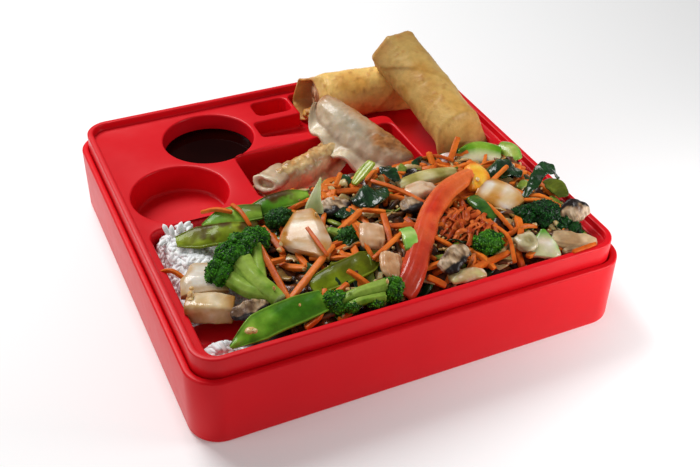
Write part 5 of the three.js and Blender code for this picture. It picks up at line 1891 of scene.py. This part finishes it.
class BENTO_OT_broccoli(bpy.types.Operator):
    """Builds the broccoli florets with their buds"""

    bl_idname = "bento.broccoli"
    bl_label = "Broccoli"

    def execute(self, context):
        skin = cooked(
            "broccoli_skin", 0.5, 0.2, 0.1, 1.0, (420, 0.8), (1500, 0.2, 0.3), glow=(0.7, 1.0, 0.3),
            shine=0.12,
        )
        for k, (node, values) in enumerate(BROCCOLI.items()):
            finish_piece(floret(node + "_cooked", skin, 10 * k + 3, **values), skin, "broccoli", node)
        return {"FINISHED"}


class BENTO_OT_garlic(bpy.types.Operator):
    """Strews chopped garlic over the food"""

    bl_idname = "bento.garlic"
    bl_label = "Garlic"

    def execute(self, context):
        bits = cooked("garlic_flesh", 0.3, 0.4, 0.2, 1.0, (900, 0.8), (2500, 0.2, 0.2))
        finish_piece(garlic_bits(context.scene.bento_food), bits, "pale_vegetable")
        return {"FINISHED"}


# ---------------------------------------------------------------- stage

CAMERA_PLACE = (-0.20193, -0.45278, 0.39076)
CAMERA_TURN = (52.660, -0.997, -24.500)
CAMERA_LENS = 52.563
CAMERA_NEAR = 0.01
WORLD_STRENGTH = 0.2
FLOOR_REACH = 4000
FLOOR_SHADE = (0.92, 0.92, 0.92)
FLOOR_GLOW = 0.08
LIGHTS = {
    "key": dict(place=(-0.25, 0.7, 0.95), aim=(0, 0, 0.03), side=0.55, power=12.2),
    "front_right": dict(place=(0.28, -0.27, 0.13), aim=(0.12, -0.12, 0.03), side=0.15, power=0.75),
    "left": dict(place=(-1.0, -0.1, 0.45), aim=(-0.1, 0, 0.03), side=0.6, power=2),
}


def staged(name, data, place, turn):
    """A light or camera, placed and turned."""
    item = bpy.data.objects.new(name, data)
    bpy.context.scene.collection.objects.link(item)
    item.location = place
    item.rotation_euler = turn
    return item


def area_light(name, place, aim, side, power):
    """A square white light that points at a place."""
    data = bpy.data.lights.new(name, "AREA")
    data.shape = "RECTANGLE"
    data.size = data.size_y = side
    data.energy = power
    x, y, z = np.subtract(aim, place)
    staged(name, data, place, (math.atan2(math.hypot(x, y), -z), 0, math.atan2(y, x) - math.pi / 2))


def make_stage():
    """The pale floor, the lights and the camera."""
    scene = bpy.context.scene
    scene.world = bpy.data.worlds.new("studio")
    scene.world.use_nodes = True
    background = scene.world.node_tree.nodes["Background"].inputs
    background["Color"].default_value = (1, 1, 1, 1)
    background["Strength"].default_value = WORLD_STRENGTH
    scene.view_settings.view_transform = "Standard"
    corners = [(x * FLOOR_REACH, y * FLOOR_REACH, 0) for x, y in ((-1, -1), (1, -1), (1, 1), (-1, 1))]
    floor = new_piece("floor", corners, [(0, 1, 2, 3)])
    look = Look(
        "pale_floor", Roughness=0.6, Base_Color=FLOOR_SHADE, Emission_Color=(1, 1, 1),
        Emission_Strength=FLOOR_GLOW,
    )
    floor.data.materials.append(look.material)
    for name, values in LIGHTS.items():
        area_light(name, **values)
    data = bpy.data.cameras.new("camera")
    data.lens = CAMERA_LENS
    data.clip_start = CAMERA_NEAR
    scene.camera = staged("camera", data, CAMERA_PLACE, [math.radians(a) for a in CAMERA_TURN])


class BENTO_OT_stage(bpy.types.Operator):
    """Adds the floor, the lights and the camera"""

    bl_idname = "bento.stage"
    bl_label = "Stage"

    def execute(self, context):
        make_stage()
        return {"FINISHED"}


# ---------------------------------------------------------------- add-on

OPERATORS = (
    BENTO_OT_stage,
    BENTO_OT_outer_box,
    BENTO_OT_tray,
    BENTO_OT_soy,
    BENTO_OT_spring_rolls,
    BENTO_OT_dumplings,
    BENTO_OT_rice,
    BENTO_OT_stir_fry,
    BENTO_OT_vegetables,
    BENTO_OT_broccoli,
    BENTO_OT_garlic,
)


class BENTO_PT_panel(bpy.types.Panel):
    """Lists the pieces of the meal"""

    bl_idname = "BENTO_PT_panel"
    bl_label = "Bento Box Meal"
    bl_space_type = "VIEW_3D"
    bl_region_type = "UI"
    bl_category = "Bento"

    def draw(self, context):
        for group in (context.scene.bento_box, context.scene.bento_food):
            for name in group.__annotations__:
                self.layout.prop(group, name)
        for operator in OPERATORS:
            self.layout.operator(operator.bl_idname)


CLASSES = (BentoBoxSettings, BentoFoodSettings, *OPERATORS, BENTO_PT_panel)


def register():
    for item in CLASSES:
        bpy.utils.register_class(item)
    bpy.types.Scene.bento_box = bpy.props.PointerProperty(type=BentoBoxSettings)
    bpy.types.Scene.bento_food = bpy.props.PointerProperty(type=BentoFoodSettings)


def unregister():
    del bpy.types.Scene.bento_food
    del bpy.types.Scene.bento_box
    for item in reversed(CLASSES):
        bpy.utils.unregister_class(item)


def main():
    """Builds the whole scene."""
    register()
    for operator in OPERATORS:
        group, name = operator.bl_idname.split(".")
        getattr(getattr(bpy.ops, group), name)()


if __name__ == "__main__":
    main()
